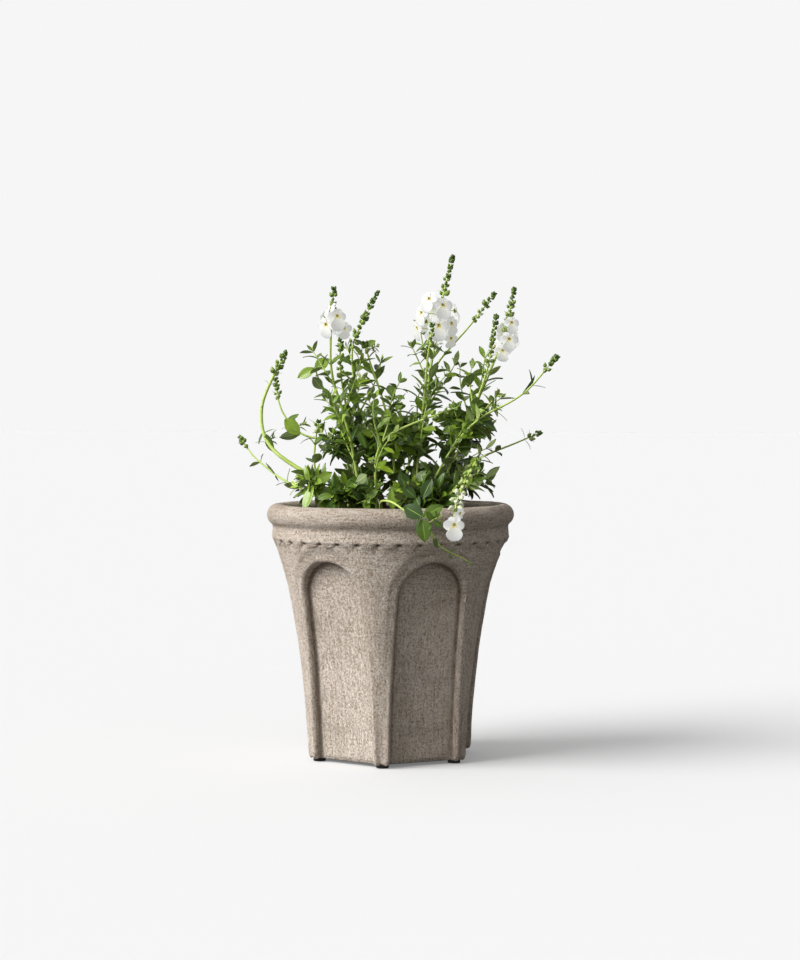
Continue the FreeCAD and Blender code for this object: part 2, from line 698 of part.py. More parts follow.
os.makedirs("parts", exist_ok=True)
for part in parts:
    part.Shape.exportStep(f"parts/{part.Label}.step")
    print(f"{part.Label}: {len(part.Shape.Solids)} solid, {part.Shape.Volume / 1000:.1f} cm3")
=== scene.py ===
import math
import random

import bpy
import numpy as np
from mathutils import Matrix, Vector, noise


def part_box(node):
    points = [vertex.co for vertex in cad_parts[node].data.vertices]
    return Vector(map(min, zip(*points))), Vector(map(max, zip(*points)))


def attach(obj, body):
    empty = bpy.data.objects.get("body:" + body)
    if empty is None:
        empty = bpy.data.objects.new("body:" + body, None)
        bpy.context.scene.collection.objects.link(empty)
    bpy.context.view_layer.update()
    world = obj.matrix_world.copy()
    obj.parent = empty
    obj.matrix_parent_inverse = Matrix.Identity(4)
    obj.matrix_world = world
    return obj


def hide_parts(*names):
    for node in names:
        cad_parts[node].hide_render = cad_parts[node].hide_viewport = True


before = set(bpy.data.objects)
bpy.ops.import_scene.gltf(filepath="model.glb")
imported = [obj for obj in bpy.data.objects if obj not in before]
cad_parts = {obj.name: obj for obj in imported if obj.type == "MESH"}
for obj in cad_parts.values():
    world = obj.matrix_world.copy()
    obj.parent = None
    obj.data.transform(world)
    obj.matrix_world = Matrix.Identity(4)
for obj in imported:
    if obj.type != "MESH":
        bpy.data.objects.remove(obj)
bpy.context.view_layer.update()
mm = 0.001
potLow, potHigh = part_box("planter_body")
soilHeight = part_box("potting_mix")[1].z
rimRadius = potHigh.x
print("frame loaded")

# Camera a little above the pot and nearly three metres off, to the right of its front corner.
cameraValues = {"place": (0.28592, -2.76073, 0.43134), "tilt": -1.958, "turn": 5.676, "lens": 85.74}
bpy.ops.object.camera_add(location=cameraValues["place"])
camera = bpy.context.object
camera.rotation_euler = (math.radians(90 + cameraValues["tilt"]), 0, math.radians(cameraValues["turn"]))
camera.data.lens = cameraValues["lens"]
camera.data.sensor_width = 36
camera.data.clip_end = 60
bpy.context.scene.camera = camera
bpy.context.scene.view_settings.view_transform = "Standard"
print("camera set")


# ---- small helpers for picking things and building node trees

def pick(*things):
    if bpy.context.object and bpy.context.object.mode != "OBJECT":
        bpy.ops.object.mode_set(mode="OBJECT")
    bpy.ops.object.select_all(action="DESELECT")
    for thing in things:
        thing.select_set(True)
    bpy.context.view_layer.objects.active = things[-1]


def editPart(piece, test, kind="VERT"):
    # opens edit mode with only the points or faces that pass the test selected
    pick(piece)
    bpy.ops.object.mode_set(mode="EDIT")
    bpy.ops.mesh.select_mode(type=kind)
    bpy.ops.mesh.select_all(action="DESELECT")
    bpy.ops.object.mode_set(mode="OBJECT")
    for element in piece.data.vertices if kind == "VERT" else piece.data.polygons:
        element.select = test(element)
    bpy.ops.object.mode_set(mode="EDIT")


def leaveEdit():
    bpy.ops.object.mode_set(mode="OBJECT")


def applyModifier(piece, kind, **settings):
    pick(piece)
    modifier = piece.modifiers.new(kind.title(), kind)
    for key, value in settings.items():
        setattr(modifier, key, value)
    bpy.ops.object.modifier_apply(modifier=modifier.name)


def settle(piece):
    # puts the object's place, turn and scale into its mesh
    pick(piece)
    bpy.ops.object.transform_apply(location=True, rotation=True, scale=True)


def smooth(piece, angle=None):
    # smooth all over, or only where faces meet at less than the angle in degrees
    pick(piece)
    if angle is None:
        bpy.ops.object.shade_smooth()
    else:
        bpy.ops.object.shade_smooth_by_angle(angle=math.radians(angle))


def dress(piece, *materials):
    piece.data.materials.clear()
    for material in materials:
        piece.data.materials.append(material)


def copyPiece(source):
    piece = source.copy()
    piece.data = source.data.copy()
    bpy.context.scene.collection.objects.link(piece)
    return piece


def addTone(piece, tone=None):
    # light or dark of each point, from 0 to 1
    shades = piece.data.attributes.new("tone", "FLOAT", "POINT")
    if tone is not None:
        shades.data.foreach_set("value", [tone] * len(piece.data.vertices))


def meshPoints(piece):
    points = np.empty(len(piece.data.vertices) * 3, np.float32)
    piece.data.vertices.foreach_get("co", points)
    return points.reshape(-1, 3)


def setPoints(piece, points):
    piece.data.vertices.foreach_set("co", np.asarray(points, np.float32).ravel())
    piece.data.update()


def joinPieces(name, members):
    pick(*members)
    if len(members) > 1:
        bpy.ops.object.join()
    piece = bpy.context.object
    piece.name = name
    piece.data.name = name
    return piece


def fill(tree, socket, value):
    # a socket takes a value, or is linked to another node's output
    if isinstance(value, bpy.types.NodeSocket):
        tree.links.new(value, socket)
    else:
        socket.default_value = value


def setNode(tree, node, **settings):
    # a setting named as one of the node's sockets fills it; any other is a property
    for key, value in settings.items():
        label = key.replace("_", " ")
        if label in node.inputs:
            fill(tree, node.inputs[label], value)
        else:
            setattr(node, key, value)
    return node


def addNode(tree, kind, place, **settings):
    return setNode(tree, tree.nodes.new(kind), location=place, **settings)


def reckon(tree, place, operation, *terms, kind="ShaderNodeMath", **settings):
    # one Math or Vector Math node, and its result
    node = addNode(tree, kind, place, operation=operation, **settings)
    for socket, term in zip(node.inputs, terms):
        fill(tree, socket, term)
    return node.outputs[0]


def rescale(tree, place, value, low, high, bottom=0.0, top=1.0, curve="SMOOTHSTEP"):
    return addNode(tree, "ShaderNodeMapRange", place, interpolation_type=curve, Value=value,
                   From_Min=low, From_Max=high, To_Min=bottom, To_Max=top).outputs["Result"]


def mixValues(tree, place, share, first, second):
    return addNode(tree, "ShaderNodeMix", place, Factor=share, A=first, B=second).outputs["Result"]


def mixColours(tree, place, share, first, second, blend="MIX"):
    node = addNode(tree, "ShaderNodeMix", place, data_type="RGBA", blend_type=blend)
    for index, value in ((0, share), (6, first), (7, second)):   # the colour sockets of a Mix node
        fill(tree, node.inputs[index], value)
    return node.outputs[2]


def addRamp(tree, place, share, stops):
    ramp = addNode(tree, "ShaderNodeValToRGB", place, Fac=share)
    elements = ramp.color_ramp.elements
    while len(elements) < len(stops):
        elements.new(0.5)
    for element, (position, colour) in zip(elements, stops):
        element.position = position
        element.color = (*colour, 1)
    return ramp.outputs["Color"]


def addBump(tree, shader, height, strength, distance, **settings):
    bump = addNode(tree, "ShaderNodeBump", (60, -260), Strength=strength, Distance=distance,
                   Height=height, **settings)
    setNode(tree, shader, Normal=bump.outputs["Normal"])


def newGroup(name, inputs, outputs):
    group = bpy.data.node_groups.new(name, "ShaderNodeTree")
    for label, kind, value in inputs:
        socket = group.interface.new_socket(label, in_out="INPUT", socket_type=kind)
        if value is not None:
            socket.default_value = value
    for label, kind in outputs:
        group.interface.new_socket(label, in_out="OUTPUT", socket_type=kind)
    return group, group.nodes.new("NodeGroupInput").outputs, group.nodes.new("NodeGroupOutput")


def useGroup(tree, group, place, **values):
    return addNode(tree, "ShaderNodeGroup", place, node_tree=group, **values).outputs


def newMaterial(name, **constants):
    material = bpy.data.materials.new(name)
    material.use_nodes = True
    tree = material.node_tree
    return material, tree, setNode(tree, tree.nodes["Principled BSDF"], **constants)


def objectPlace(tree):
    return addNode(tree, "ShaderNodeTexCoord", (-1500, 0)).outputs["Object"]


def readAttribute(tree, place, name):
    return addNode(tree, "ShaderNodeAttribute", place, attribute_name=name).outputs["Fac"]


# ---- effects that several materials share

floatIn, colourIn, vectorIn = "NodeSocketFloat", "NodeSocketColor", "NodeSocketVector"


def makeGrain():
    # grain of two sizes as a mask, with how strongly it stands out
    group, given, end = newGroup("grain", [
        ("Vector", vectorIn, None), ("Fine", floatIn, 900.0), ("Coarse", floatIn, 260.0),
        ("Low", floatIn, 0.42), ("High", floatIn, 0.60)], [("Mask", floatIn), ("Height", floatIn)])
    fine, coarse = (
        addNode(group, "ShaderNodeTexNoise", (-500, 120), Vector=given["Vector"], Scale=given[size],
                Detail=detail, Roughness=roughness).outputs["Fac"]
        for size, detail, roughness in (("Fine", 3.0, 0.6), ("Coarse", 4.0, 0.62)))
    both = mixValues(group, (-280, 0), 0.45, fine, coarse)
    setNode(group, end, Mask=rescale(group, (-80, 60), both, given["Low"], given["High"]), Height=both)
    return group


def makeBlotch():
    # broad soft patches that move a colour towards another one
    group, given, end = newGroup("blotch", [
        ("Vector", vectorIn, None), ("Colour", colourIn, None), ("Patch", colourIn, None),
        ("Scale", floatIn, 12.0), ("Amount", floatIn, 0.5)], [("Colour", colourIn), ("Mask", floatIn)])
    texture = addNode(group, "ShaderNodeTexNoise", (-500, 0), Vector=given["Vector"], Scale=given["Scale"],
                      Detail=3.0, Roughness=0.55)
    spots = rescale(group, (-300, 0), texture.outputs["Fac"], 0.38, 0.66)
    mask = reckon(group, (-120, 0), "MULTIPLY", spots, given["Amount"])
    mixed = mixColours(group, (60, 0), mask, given["Colour"], given["Patch"])
    setNode(group, end, Colour=mixed, Mask=mask)
    return group


def makeStreak():
    # brush strokes: noise drawn out along one way by the stretch
    group, given, end = newGroup("streak", [
        ("Vector", vectorIn, None), ("Stretch", vectorIn, (1, 1, 1)),
        ("Low", floatIn, 0.4), ("High", floatIn, 0.65)], [("Mask", floatIn)])
    drawn = reckon(group, (-500, 0), "MULTIPLY", given["Vector"], given["Stretch"],
                   kind="ShaderNodeVectorMath")
    texture = addNode(group, "ShaderNodeTexNoise", (-300, 0), Vector=drawn, Scale=1.0, Detail=4.0,
                      Roughness=0.6)
    mask = rescale(group, (-100, 0), texture.outputs["Fac"], given["Low"], given["High"])
    setNode(group, end, Mask=mask)
    return group


grain, blotch, streak = makeGrain(), makeBlotch(), makeStreak()


# ---- materials

stoneValues = {
    "lime": (0.95, 0.855, 0.76), "clay": (0.30, 0.205, 0.13), "wash": (0.72, 0.605, 0.49),
    # the first dark colour below paints shade in hollows, notches and creases, and also dirt at the rim
    "shadeAndGrimeColour": (0.14, 0.095, 0.06), "fineGrain": 980.0, "coarseGrain": 430.0,
    "uprightStrokes": (420.0, 420.0, 30.0), "roundStrokes": (45.0, 45.0, 460.0), "strokes": 0.28,
    "strokesTurn": (0.17, 0.245),    # heights between which the strokes turn from upright to round
    "patches": 11.0, "patchShare": 0.20, "handledRim": (0.275, 0.30), "handledDirt": 0.14,
    "roughness": (0.96, 0.80), "bump": 0.9, "relief": 1.1 * mm,
}


def makeStone():
    values = stoneValues
    material, tree, shader = newMaterial("weatheredStone", Specular_IOR_Level=0.25)
    place = objectPlace(tree)
    speckle = useGroup(tree, grain, (-1200, 300), Vector=place, Fine=values["fineGrain"],
                       Coarse=values["coarseGrain"], Low=0.40, High=0.555)
    upright = useGroup(tree, streak, (-1200, 60), Vector=place, Stretch=values["uprightStrokes"],
                       Low=0.36, High=0.62)
    around = useGroup(tree, streak, (-1200, -160), Vector=place, Stretch=values["roundStrokes"],
                      Low=0.38, High=0.64)
    height = addNode(tree, "ShaderNodeSeparateXYZ", (-1200, -400), Vector=place).outputs["Z"]
    turned = rescale(tree, (-1000, -400), height, *values["strokesTurn"])
    brush = mixValues(tree, (-800, -40), turned, upright["Mask"], around["Mask"])
    weight = mixValues(tree, (-620, 100), values["strokes"], speckle["Mask"], brush)
    colour = addRamp(tree, (-440, 100), weight, [
        (0.0, values["clay"]), (0.45, values["wash"]), (1.0, values["lime"])])
    patches = useGroup(tree, blotch, (-160, 100), Vector=place, Colour=colour, Scale=values["patches"],
                       Amount=values["patchShare"], Patch=(*values["clay"], 1))
    # painted shade darkens the hollows, notches and panel creases; everything but the sunk panels is a little
    # darker, and dirt gathers where hands lift the pot by its rim
    handled = rescale(tree, (-440, -420), height, *values["handledRim"], 0.0, values["handledDirt"])
    shadeAndGrime = reckon(tree, (-240, -300), "ADD", readAttribute(tree, (-440, -260), "shadeAndDarkening"), handled,
                   use_clamp=True)
    setNode(tree, shader,
            Base_Color=mixColours(tree, (40, 60), shadeAndGrime, patches["Colour"], (*values["shadeAndGrimeColour"], 1)),
            Roughness=rescale(tree, (-160, -120), weight, 0, 1, *values["roughness"], "LINEAR"))
    addBump(tree, shader, weight, values["bump"], values["relief"])
    return material


leafValues = {
    "glossyLeaf": {
        "stops": [(0.0, (0.012, 0.032, 0.006)), (0.28, (0.050, 0.108, 0.012)), (0.56, (0.18, 0.300, 0.022)),
                  (0.82, (0.36, 0.52, 0.036)), (1.0, (0.56, 0.70, 0.09))],
        "rib": (0.30, 0.45, 0.07), "roughness": 0.30, "ribWidth": 0.045},
    "leafUnderside": {
        "stops": [(0.0, (0.17, 0.23, 0.09)), (0.5, (0.32, 0.42, 0.13)), (1.0, (0.52, 0.64, 0.18))],
        "rib": (0.46, 0.56, 0.22), "roughness": 0.6, "ribWidth": 0.06},
}


def makeLeaf(name):
    # across the leaf runs U, along it V; the midrib lies at U one half
    values = leafValues[name]
    material, tree, shader = newMaterial(name, Roughness=values["roughness"], Specular_IOR_Level=0.6)
    place = addNode(tree, "ShaderNodeTexCoord", (-1200, -200)).outputs
    colour = addRamp(tree, (-960, 200), readAttribute(tree, (-1200, 200), "tone"), values["stops"])
    patches = useGroup(tree, blotch, (-640, 160), Vector=place["Object"], Colour=colour, Scale=70.0,
                       Amount=0.22, Patch=(*values["stops"][1][1], 1))
    sheet = addNode(tree, "ShaderNodeSeparateXYZ", (-960, -200), Vector=place["UV"]).outputs
    aside = reckon(tree, (-620, -140), "ABSOLUTE", reckon(tree, (-780, -140), "SUBTRACT", sheet["X"], 0.5))
    rib = rescale(tree, (-460, -140), aside, values["ribWidth"], 0.0)
    # the side veins lean towards the tip
    slant = reckon(tree, (-620, -340), "MULTIPLY_ADD", aside, -0.55, sheet["Y"])
    veins = reckon(tree, (-300, -340), "SINE", reckon(tree, (-460, -340), "MULTIPLY", slant, 46.0))
    ribbed = mixColours(tree, (-260, 140), rib, patches["Colour"], (*values["rib"], 1))
    setNode(tree, shader, Base_Color=ribbed)
    relief = reckon(tree, (-140, -300), "MULTIPLY_ADD", veins, 0.25, rib)
    addBump(tree, shader, relief, 0.35, 0.3 * mm, invert=True)
    return material


def makeStem(name, base, patch, scale, roughness):
    material, tree, shader = newMaterial(name, Roughness=roughness, Specular_IOR_Level=0.4)
    place = objectPlace(tree)
    patches = useGroup(tree, blotch, (-600, 100), Vector=place, Scale=scale, Amount=0.8,
                       Colour=(*base, 1), Patch=(*patch, 1))
    lines = useGroup(tree, streak, (-600, -160), Vector=place, Stretch=(900.0, 900.0, 60.0))["Mask"]
    level = rescale(tree, (-460, -160), lines, 0, 1, 0.0, 0.15, "LINEAR")
    shade = mixColours(tree, (-300, 60), level, patches["Colour"], (*patch, 1), "MULTIPLY")
    setNode(tree, shader, Base_Color=shade)
    addBump(tree, shader, lines, 0.3, 0.3 * mm)
    return material


petalValues = {
    "stops": [(0.0, (0.34, 0.28, 0.05)), (0.10, (0.48, 0.43, 0.18)), (0.19, (0.53, 0.53, 0.48)),
              (0.80, (0.53, 0.53, 0.52)), (1.0, (0.50, 0.51, 0.51))],
    "glow": 0.66,    # stands in for the light that shines through a petal
    "folds": 42.0, "foldDepth": 0.1 * mm,
}


def makePetal():
    values = petalValues
    material, tree, shader = newMaterial("whitePetal", Roughness=0.62, Specular_IOR_Level=0.3,
                                         Emission_Strength=values["glow"])
    place = addNode(tree, "ShaderNodeTexCoord", (-1000, 0)).outputs
    sheet = addNode(tree, "ShaderNodeSeparateXYZ", (-800, 0), Vector=place["UV"]).outputs
    wobble = useGroup(tree, grain, (-800, -220), Vector=place["Object"], Fine=700.0, Coarse=240.0)
    spread = reckon(tree, (-560, -60), "MULTIPLY_ADD", wobble["Mask"], 0.10, sheet["Y"])
    colour = addRamp(tree, (-360, 60), spread, values["stops"])
    setNode(tree, shader, Base_Color=colour, Emission_Color=colour)
    folds = reckon(tree, (-200, -260), "SINE",
                   reckon(tree, (-360, -260), "MULTIPLY", sheet["X"], values["folds"]))
    addBump(tree, shader, folds, 0.15, values["foldDepth"])
    return material


tonedValues = {
    "budGreen": {
        "stops": [(0.0, (0.022, 0.048, 0.012)), (0.35, (0.075, 0.14, 0.022)), (0.6, (0.20, 0.31, 0.04)),
                  (0.8, (0.52, 0.60, 0.22)), (1.0, (0.84, 0.86, 0.70))],
        "roughness": 0.5, "gloss": 0.4, "grain": {"Fine": 900.0, "Coarse": 300.0}, "dots": 0.22,
        "bump": (0.3, 0.4 * mm)},
    "flowerThroat": {
        "stops": [(0.0, (0.16, 0.10, 0.015)), (0.4, (0.42, 0.33, 0.03)), (1.0, (0.72, 0.60, 0.14))],
        "roughness": 0.6, "gloss": 0.4, "grain": {"Fine": 1500.0, "Coarse": 500.0}, "dots": 0.22,
        "bump": (0.3, 0.4 * mm)},
    "pottingSoil": {
        "stops": [(0.0, (0.014, 0.009, 0.006)), (0.4, (0.045, 0.028, 0.017)), (0.8, (0.12, 0.075, 0.045)),
                  (1.0, (0.26, 0.18, 0.11))],
        "roughness": 0.95, "gloss": 0.2, "dots": 0.3, "bump": (0.8, 1.2 * mm),
        "grain": {"Fine": 1100.0, "Coarse": 240.0, "Low": 0.45, "High": 0.7}},
}


def makeToned(name):
    # colour from the tone of each bud, throat or crumb, broken up by grain
    values = tonedValues[name]
    material, tree, shader = newMaterial(name, Roughness=values["roughness"],
                                         Specular_IOR_Level=values["gloss"])
    dots = useGroup(tree, grain, (-680, -120), Vector=objectPlace(tree), **values["grain"])
    shift = reckon(tree, (-480, 60), "MULTIPLY_ADD", dots["Mask"], values["dots"],
                   readAttribute(tree, (-900, 120), "tone"))
    setNode(tree, shader, Base_Color=addRamp(tree, (-300, 60), shift, values["stops"]))
    addBump(tree, shader, dots["Height"], *values["bump"])
    return material


def makePlain(name, base, worn, roughness, fine):
    # moulded plastic or rubber with a fine grain, paler where it is worn
    material, tree, shader = newMaterial(name)
    place = objectPlace(tree)
    wear = useGroup(tree, blotch, (-600, 80), Vector=place, Scale=40.0, Amount=0.5, Colour=(*base, 1),
                    Patch=(*worn, 1))
    dots = useGroup(tree, grain, (-600, -160), Vector=place, Fine=fine, Coarse=fine / 4)
    rough = rescale(tree, (-300, -60), dots["Mask"], 0, 1, roughness - 0.1, roughness + 0.1, "LINEAR")
    setNode(tree, shader, Base_Color=wear["Colour"], Roughness=rough)
    addBump(tree, shader, dots["Height"], 0.3, 0.3 * mm)
    return material


stone = makeStone()
leafTop, leafBack = makeLeaf("glossyLeaf"), makeLeaf("leafUnderside")
greenStem = makeStem("greenStem", (0.58, 0.72, 0.19), (0.42, 0.58, 0.10), 30.0, 0.5)
woodStem = makeStem("woodyStem", (0.16, 0.105, 0.055), (0.055, 0.04, 0.022), 90.0, 0.85)
whitePetal = makePetal()
budGreen, throat, soil = makeToned("budGreen"), makeToned("flowerThroat"), makeToned("pottingSoil")
rubber = makePlain("footRubber", (0.012, 0.011, 0.010), (0.035, 0.033, 0.03), 0.8, 1400.0)
blackPlastic = makePlain("growPotPlastic", (0.014, 0.014, 0.014), (0.04, 0.04, 0.038), 0.5, 1800.0)
print("materials made")


# ---- the pot

potValues = {
    "voxel": 1.6 * mm, "softTurns": 7, "softShare": 0.5, "crispFrom": 0.262, "crispShare": 0.5,
    "triangles": 127500, "waver": 0.5 * mm,
    # the band: height of its lower edge, how far above and how deep it is worked, lobes and notches
    "edge": 0.2655, "bandTall": 9 * mm, "bandDeep": 14 * mm, "bandFade": 8 * mm, "lobeEase": 1.6 * mm,
    "swag": 4.6 * mm, "proud": 1.5 * mm, "lobes": 36,
    "notch": 1.9 * mm, "notchWide": 4.2 * mm, "notchTall": 1.7 * mm,
    # the arched panels: where the arch springs, its half width, how far they sink, and their bead
    "archFoot": 202.5 * mm, "archHalf": 41.5 * mm, "wallFrom": 84 * mm,
    "sink": 1.6 * mm, "sinkEase": 3.5 * mm,
    "bead": 2.4 * mm, "beadOut": 4 * mm, "beadWide": 3 * mm, "creaseIn": 1.5 * mm, "creaseWide": 2.4 * mm,
    # darkening: a plain darker tone all over but for the sunk panels, and painted shade in hollows, in
    # notches and in the panels' creases
    "darkerOutsidePanels": 0.13, "paleEase": 6 * mm, "hollowShade": 6.5, "notchShade": 0.5, "creaseShade": 0.35,
}


def ridge(distance, width):
    return np.exp(-(distance / width) ** 2)


def workBand(points, radius, values):
    # garland of shallow lobes along the band's lower edge, with a notch between each two
    turn = np.arctan2(points[:, 1], points[:, 0]) / (2 * math.pi) * values["lobes"]
    swing = 2 * (turn - np.floor(turn)) - 1
    above = points[:, 2] - values["edge"]
    outside = radius > rimRadius - values["bandDeep"]
    lobe = np.clip((above + values["swag"] * (1 - swing**2)) / values["lobeEase"], 0, 1)
    lobe *= np.clip((values["bandTall"] - above) / values["bandFade"], 0, 1)
    fromNotch = (1 - np.abs(swing)) * math.pi * radius / values["lobes"]
    notch = outside * ridge(fromNotch, values["notchWide"]) * ridge(above, values["notchTall"])
    # the notch mask is also handed on to paint shade into the notches
    return outside * lobe * values["proud"] - notch * values["notch"], notch


def workPanels(points, normals, radius, values):
    # each arched panel sinks a little further and gets a soft bead round its edge
    bearing = np.degrees(np.arctan2(points[:, 0], -points[:, 1])) % 60 - 30
    aside = np.abs(radius * np.sin(np.radians(bearing)))
    above = np.maximum(points[:, 2] - values["archFoot"], 0)
    inset = values["archHalf"] - np.hypot(aside, above)
    wall = (radius > values["wallFrom"]) & (points[:, 2] < values["edge"] - values["bandFade"])
    wall &= (np.abs(normals[:, 2]) < 0.85) & ((normals[:, :2] * points[:, :2]).sum(1) > 0)
    shift = values["bead"] * ridge(inset + values["beadOut"], values["beadWide"])
    shift -= values["sink"] * np.clip(inset / values["sinkEase"], 0, 1)
    # the crease mask marks where painted shade darkens the inside edge of each panel
    crease = wall * ridge(inset - values["creaseIn"], values["creaseWide"])
    return wall * shift, crease, wall * np.clip(inset / values["paleEase"], 0, 1)


def findHollows(piece, points, normals):
    # how far each point lies inside its neighbours, spread over them a few times; deeper hollows get more
    # painted shade
    edges = np.empty(len(piece.data.edges) * 2, np.int64)
    piece.data.edges.foreach_get("vertices", edges)
    edges = edges.reshape(-1, 2)
    start, end = np.concatenate([edges, edges[:, ::-1]]).T
    gap = points[end] - points[start]
    lift = (gap * normals[start]).sum(1) / np.maximum(np.linalg.norm(gap, axis=1), 1e-9)
    links = np.maximum(np.bincount(start, minlength=len(points)), 1)
    depth = np.bincount(start, lift, len(points)) / links
    for _ in range(6):
        depth = 0.4 * depth + 0.6 * np.bincount(start, depth[end], len(points)) / links
    return depth


def makePot():
    values = potValues
    pot = copyPiece(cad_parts["planter_body"])
    pot.parent = None
    for key in list(pot.keys()):
        del pot[key]
    pot.name = "stonePot"
    pick(pot)
    bpy.ops.object.mode_set(mode="EDIT")
    bpy.ops.mesh.select_all(action="SELECT")
    bpy.ops.mesh.remove_doubles(threshold=0.02 * mm)
    leaveEdit()
    applyModifier(pot, "REMESH", mode="VOXEL", voxel_size=values["voxel"])
    # everything below the band is hand-softened; the rolled rim and its groove stay crisper
    heights = meshPoints(pot)[:, 2]
    soft = pot.vertex_groups.new(name="soft")
    soft.add(np.nonzero(heights < values["crispFrom"])[0].tolist(), 1.0, "REPLACE")
    soft.add(np.nonzero(heights >= values["crispFrom"])[0].tolist(), values["crispShare"], "REPLACE")
    applyModifier(pot, "SMOOTH", factor=values["softShare"], iterations=values["softTurns"],
                  vertex_group="soft")
    pot.vertex_groups.clear()
    count = len(pot.data.polygons) * 2
    applyModifier(pot, "DECIMATE", ratio=min(1.0, values["triangles"] / count))
    editPart(pot, lambda point: abs(point.co.z - values["edge"]) < values["bandTall"]
             and math.hypot(point.co.x, point.co.y) > rimRadius - values["bandDeep"])
    bpy.ops.mesh.subdivide(number_cuts=1, smoothness=0)
    leaveEdit()

    points = meshPoints(pot).astype(float)
    normals = np.empty(len(points) * 3, np.float32)
    pot.data.vertices.foreach_get("normal", normals)
    normals = normals.reshape(-1, 3).astype(float)
    radius = np.hypot(points[:, 0], points[:, 1])
    bandShift, notch = workBand(points, radius, values)
    panelShift, crease, pale = workPanels(points, normals, radius, values)
    waver = np.array([noise.noise(Vector(point) * 26) + 0.5 * noise.noise(Vector(point) * 70)
                      for point in points]) * values["waver"] * (points[:, 2] > potLow.z + 2 * mm)
    moved = points + normals * (bandShift + panelShift + waver)[:, None]
    moved[:, 2] = np.clip(moved[:, 2], potLow.z, potHigh.z)
    setPoints(pot, moved)
    # painted shade: the notches, the panels' creases and the hollows are darkened in the stone's colour; all
    # but the sunk panels gets a plain darker tone
    shadeAndDarkening = values["darkerOutsidePanels"] * (1 - pale) + values["notchShade"] * notch + values["creaseShade"] * crease
    shadeAndDarkening += np.clip((findHollows(pot, moved, normals) - 0.02) * values["hollowShade"], 0, 0.7)
    pot.data.attributes.new("shadeAndDarkening", "FLOAT", "POINT").data.foreach_set(
        "value", np.clip(shadeAndDarkening, 0, 0.9).astype(np.float32))
    smooth(pot)
    dress(pot, stone)
    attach(pot, "planter")
    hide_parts("planter_body")


makePot()
print("pot made")

footValues = {"bevel": 0.9 * mm, "dish": 1.2 * mm, "sides": 32}


def makeFoot(side):
    low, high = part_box(f"foot_{side}")
    middle = (low + high) / 2
    bpy.ops.mesh.primitive_cylinder_add(vertices=footValues["sides"], radius=(high.x - low.x) / 2,
                                        depth=high.z - low.z, location=middle)
    foot = bpy.context.object
    foot.name = f"rubberFoot_{side}"
    settle(foot)
    editPart(foot, lambda face: abs(face.normal.z) > 0.9 and face.center.z < middle.z, "FACE")
    bpy.ops.mesh.inset(thickness=2 * footValues["bevel"], depth=0)
    bpy.ops.transform.translate(value=(0, 0, footValues["dish"]))
    leaveEdit()
    applyModifier(foot, "BEVEL", width=footValues["bevel"], segments=3, limit_method="ANGLE")
    smooth(foot, 40)
    dress(foot, rubber)
    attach(foot, "planter")
    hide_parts(f"foot_{side}")


for side in ("front", "front_right", "back_right", "back", "back_left", "front_left"):
    makeFoot(side)
print("feet made")

dress(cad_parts["grow_pot"], blackPlastic)


# ---- shapes that repeat over the plant, each modelled once at a length of one metre

leafShapes = {
    # half widths up the leaf, from its foot to its tip
    "broad": {"rows": (0.05, 0.17, 0.25, 0.27, 0.235, 0.15, 0.0), "groove": 0.045, "thick": 0.016},
    "long": {"rows": (0.04, 0.12, 0.18, 0.195, 0.17, 0.10, 0.0), "groove": 0.03, "thick": 0.014},
    "thin": {"rows": (0.03, 0.05, 0.062, 0.066, 0.055, 0.035, 0.0), "groove": 0.012, "thick": 0.014},
}


def modelStrip(name, columns, rows, least=0.0):
    # flat strip one long, as wide at each row as it says
    steps = len(rows) - 1
    bpy.ops.mesh.primitive_grid_add(x_subdivisions=columns, y_subdivisions=steps, size=1,
                                    location=(0, 0.5, 0), calc_uvs=True)
    strip = bpy.context.object
    strip.name = name
    settle(strip)
    for row, half in enumerate(rows):
        height = row / steps
        editPart(strip, lambda point: abs(point.co.y - height) < 0.02)
        bpy.ops.transform.resize(value=(max(2 * half, least), 1, 1), center_override=(0, height, 0))
        leaveEdit()
    strip.data.uv_layers[0].name = "UVMap"
    return strip


def modelLeaf(kind):
    values = leafShapes[kind]
    leaf = modelStrip(f"{kind}LeafPattern", 4, values["rows"], 0.012)
    editPart(leaf, lambda point: abs(point.co.x) < 0.001)
    bpy.ops.transform.translate(value=(0, 0, -values["groove"]))
    leaveEdit()
    dress(leaf, leafTop, leafBack)
    applyModifier(leaf, "SOLIDIFY", thickness=values["thick"], offset=-1, material_offset=1)
    smooth(leaf, 60)
    addTone(leaf)
    return leaf


petalShapes = {
    "lip": {"rows": (0.15, 0.36, 0.50, 0.55, 0.50, 0.28), "cup": 0.10, "ruffle": 0.014},
    "lobe": {"rows": (0.18, 0.38, 0.48, 0.50, 0.42, 0.22), "cup": 0.08, "ruffle": 0.012},
}


def modelPetal(kind):
    values = petalShapes[kind]
    petal = modelStrip(f"{kind}PetalPattern", 6, values["rows"])
    points = meshPoints(petal)
    rounded = 1 - 0.16 * (points[:, 0] / 0.5) ** 2 * points[:, 1]   # the free edge is round
    points[:, 2] += values["cup"] * (4 * points[:, 0] ** 2) - 0.10 * points[:, 1] ** 2
    points[:, 2] += values["ruffle"] * np.sin(points[:, 0] * 22) * points[:, 1] ** 3
    points[:, 1] *= rounded
    setPoints(petal, points)
    dress(petal, whitePetal)
    applyModifier(petal, "SOLIDIFY", thickness=0.022, offset=0)
    applyModifier(petal, "SUBSURF", levels=1, render_levels=1)
    smooth(petal)
    addTone(petal)
    return petal


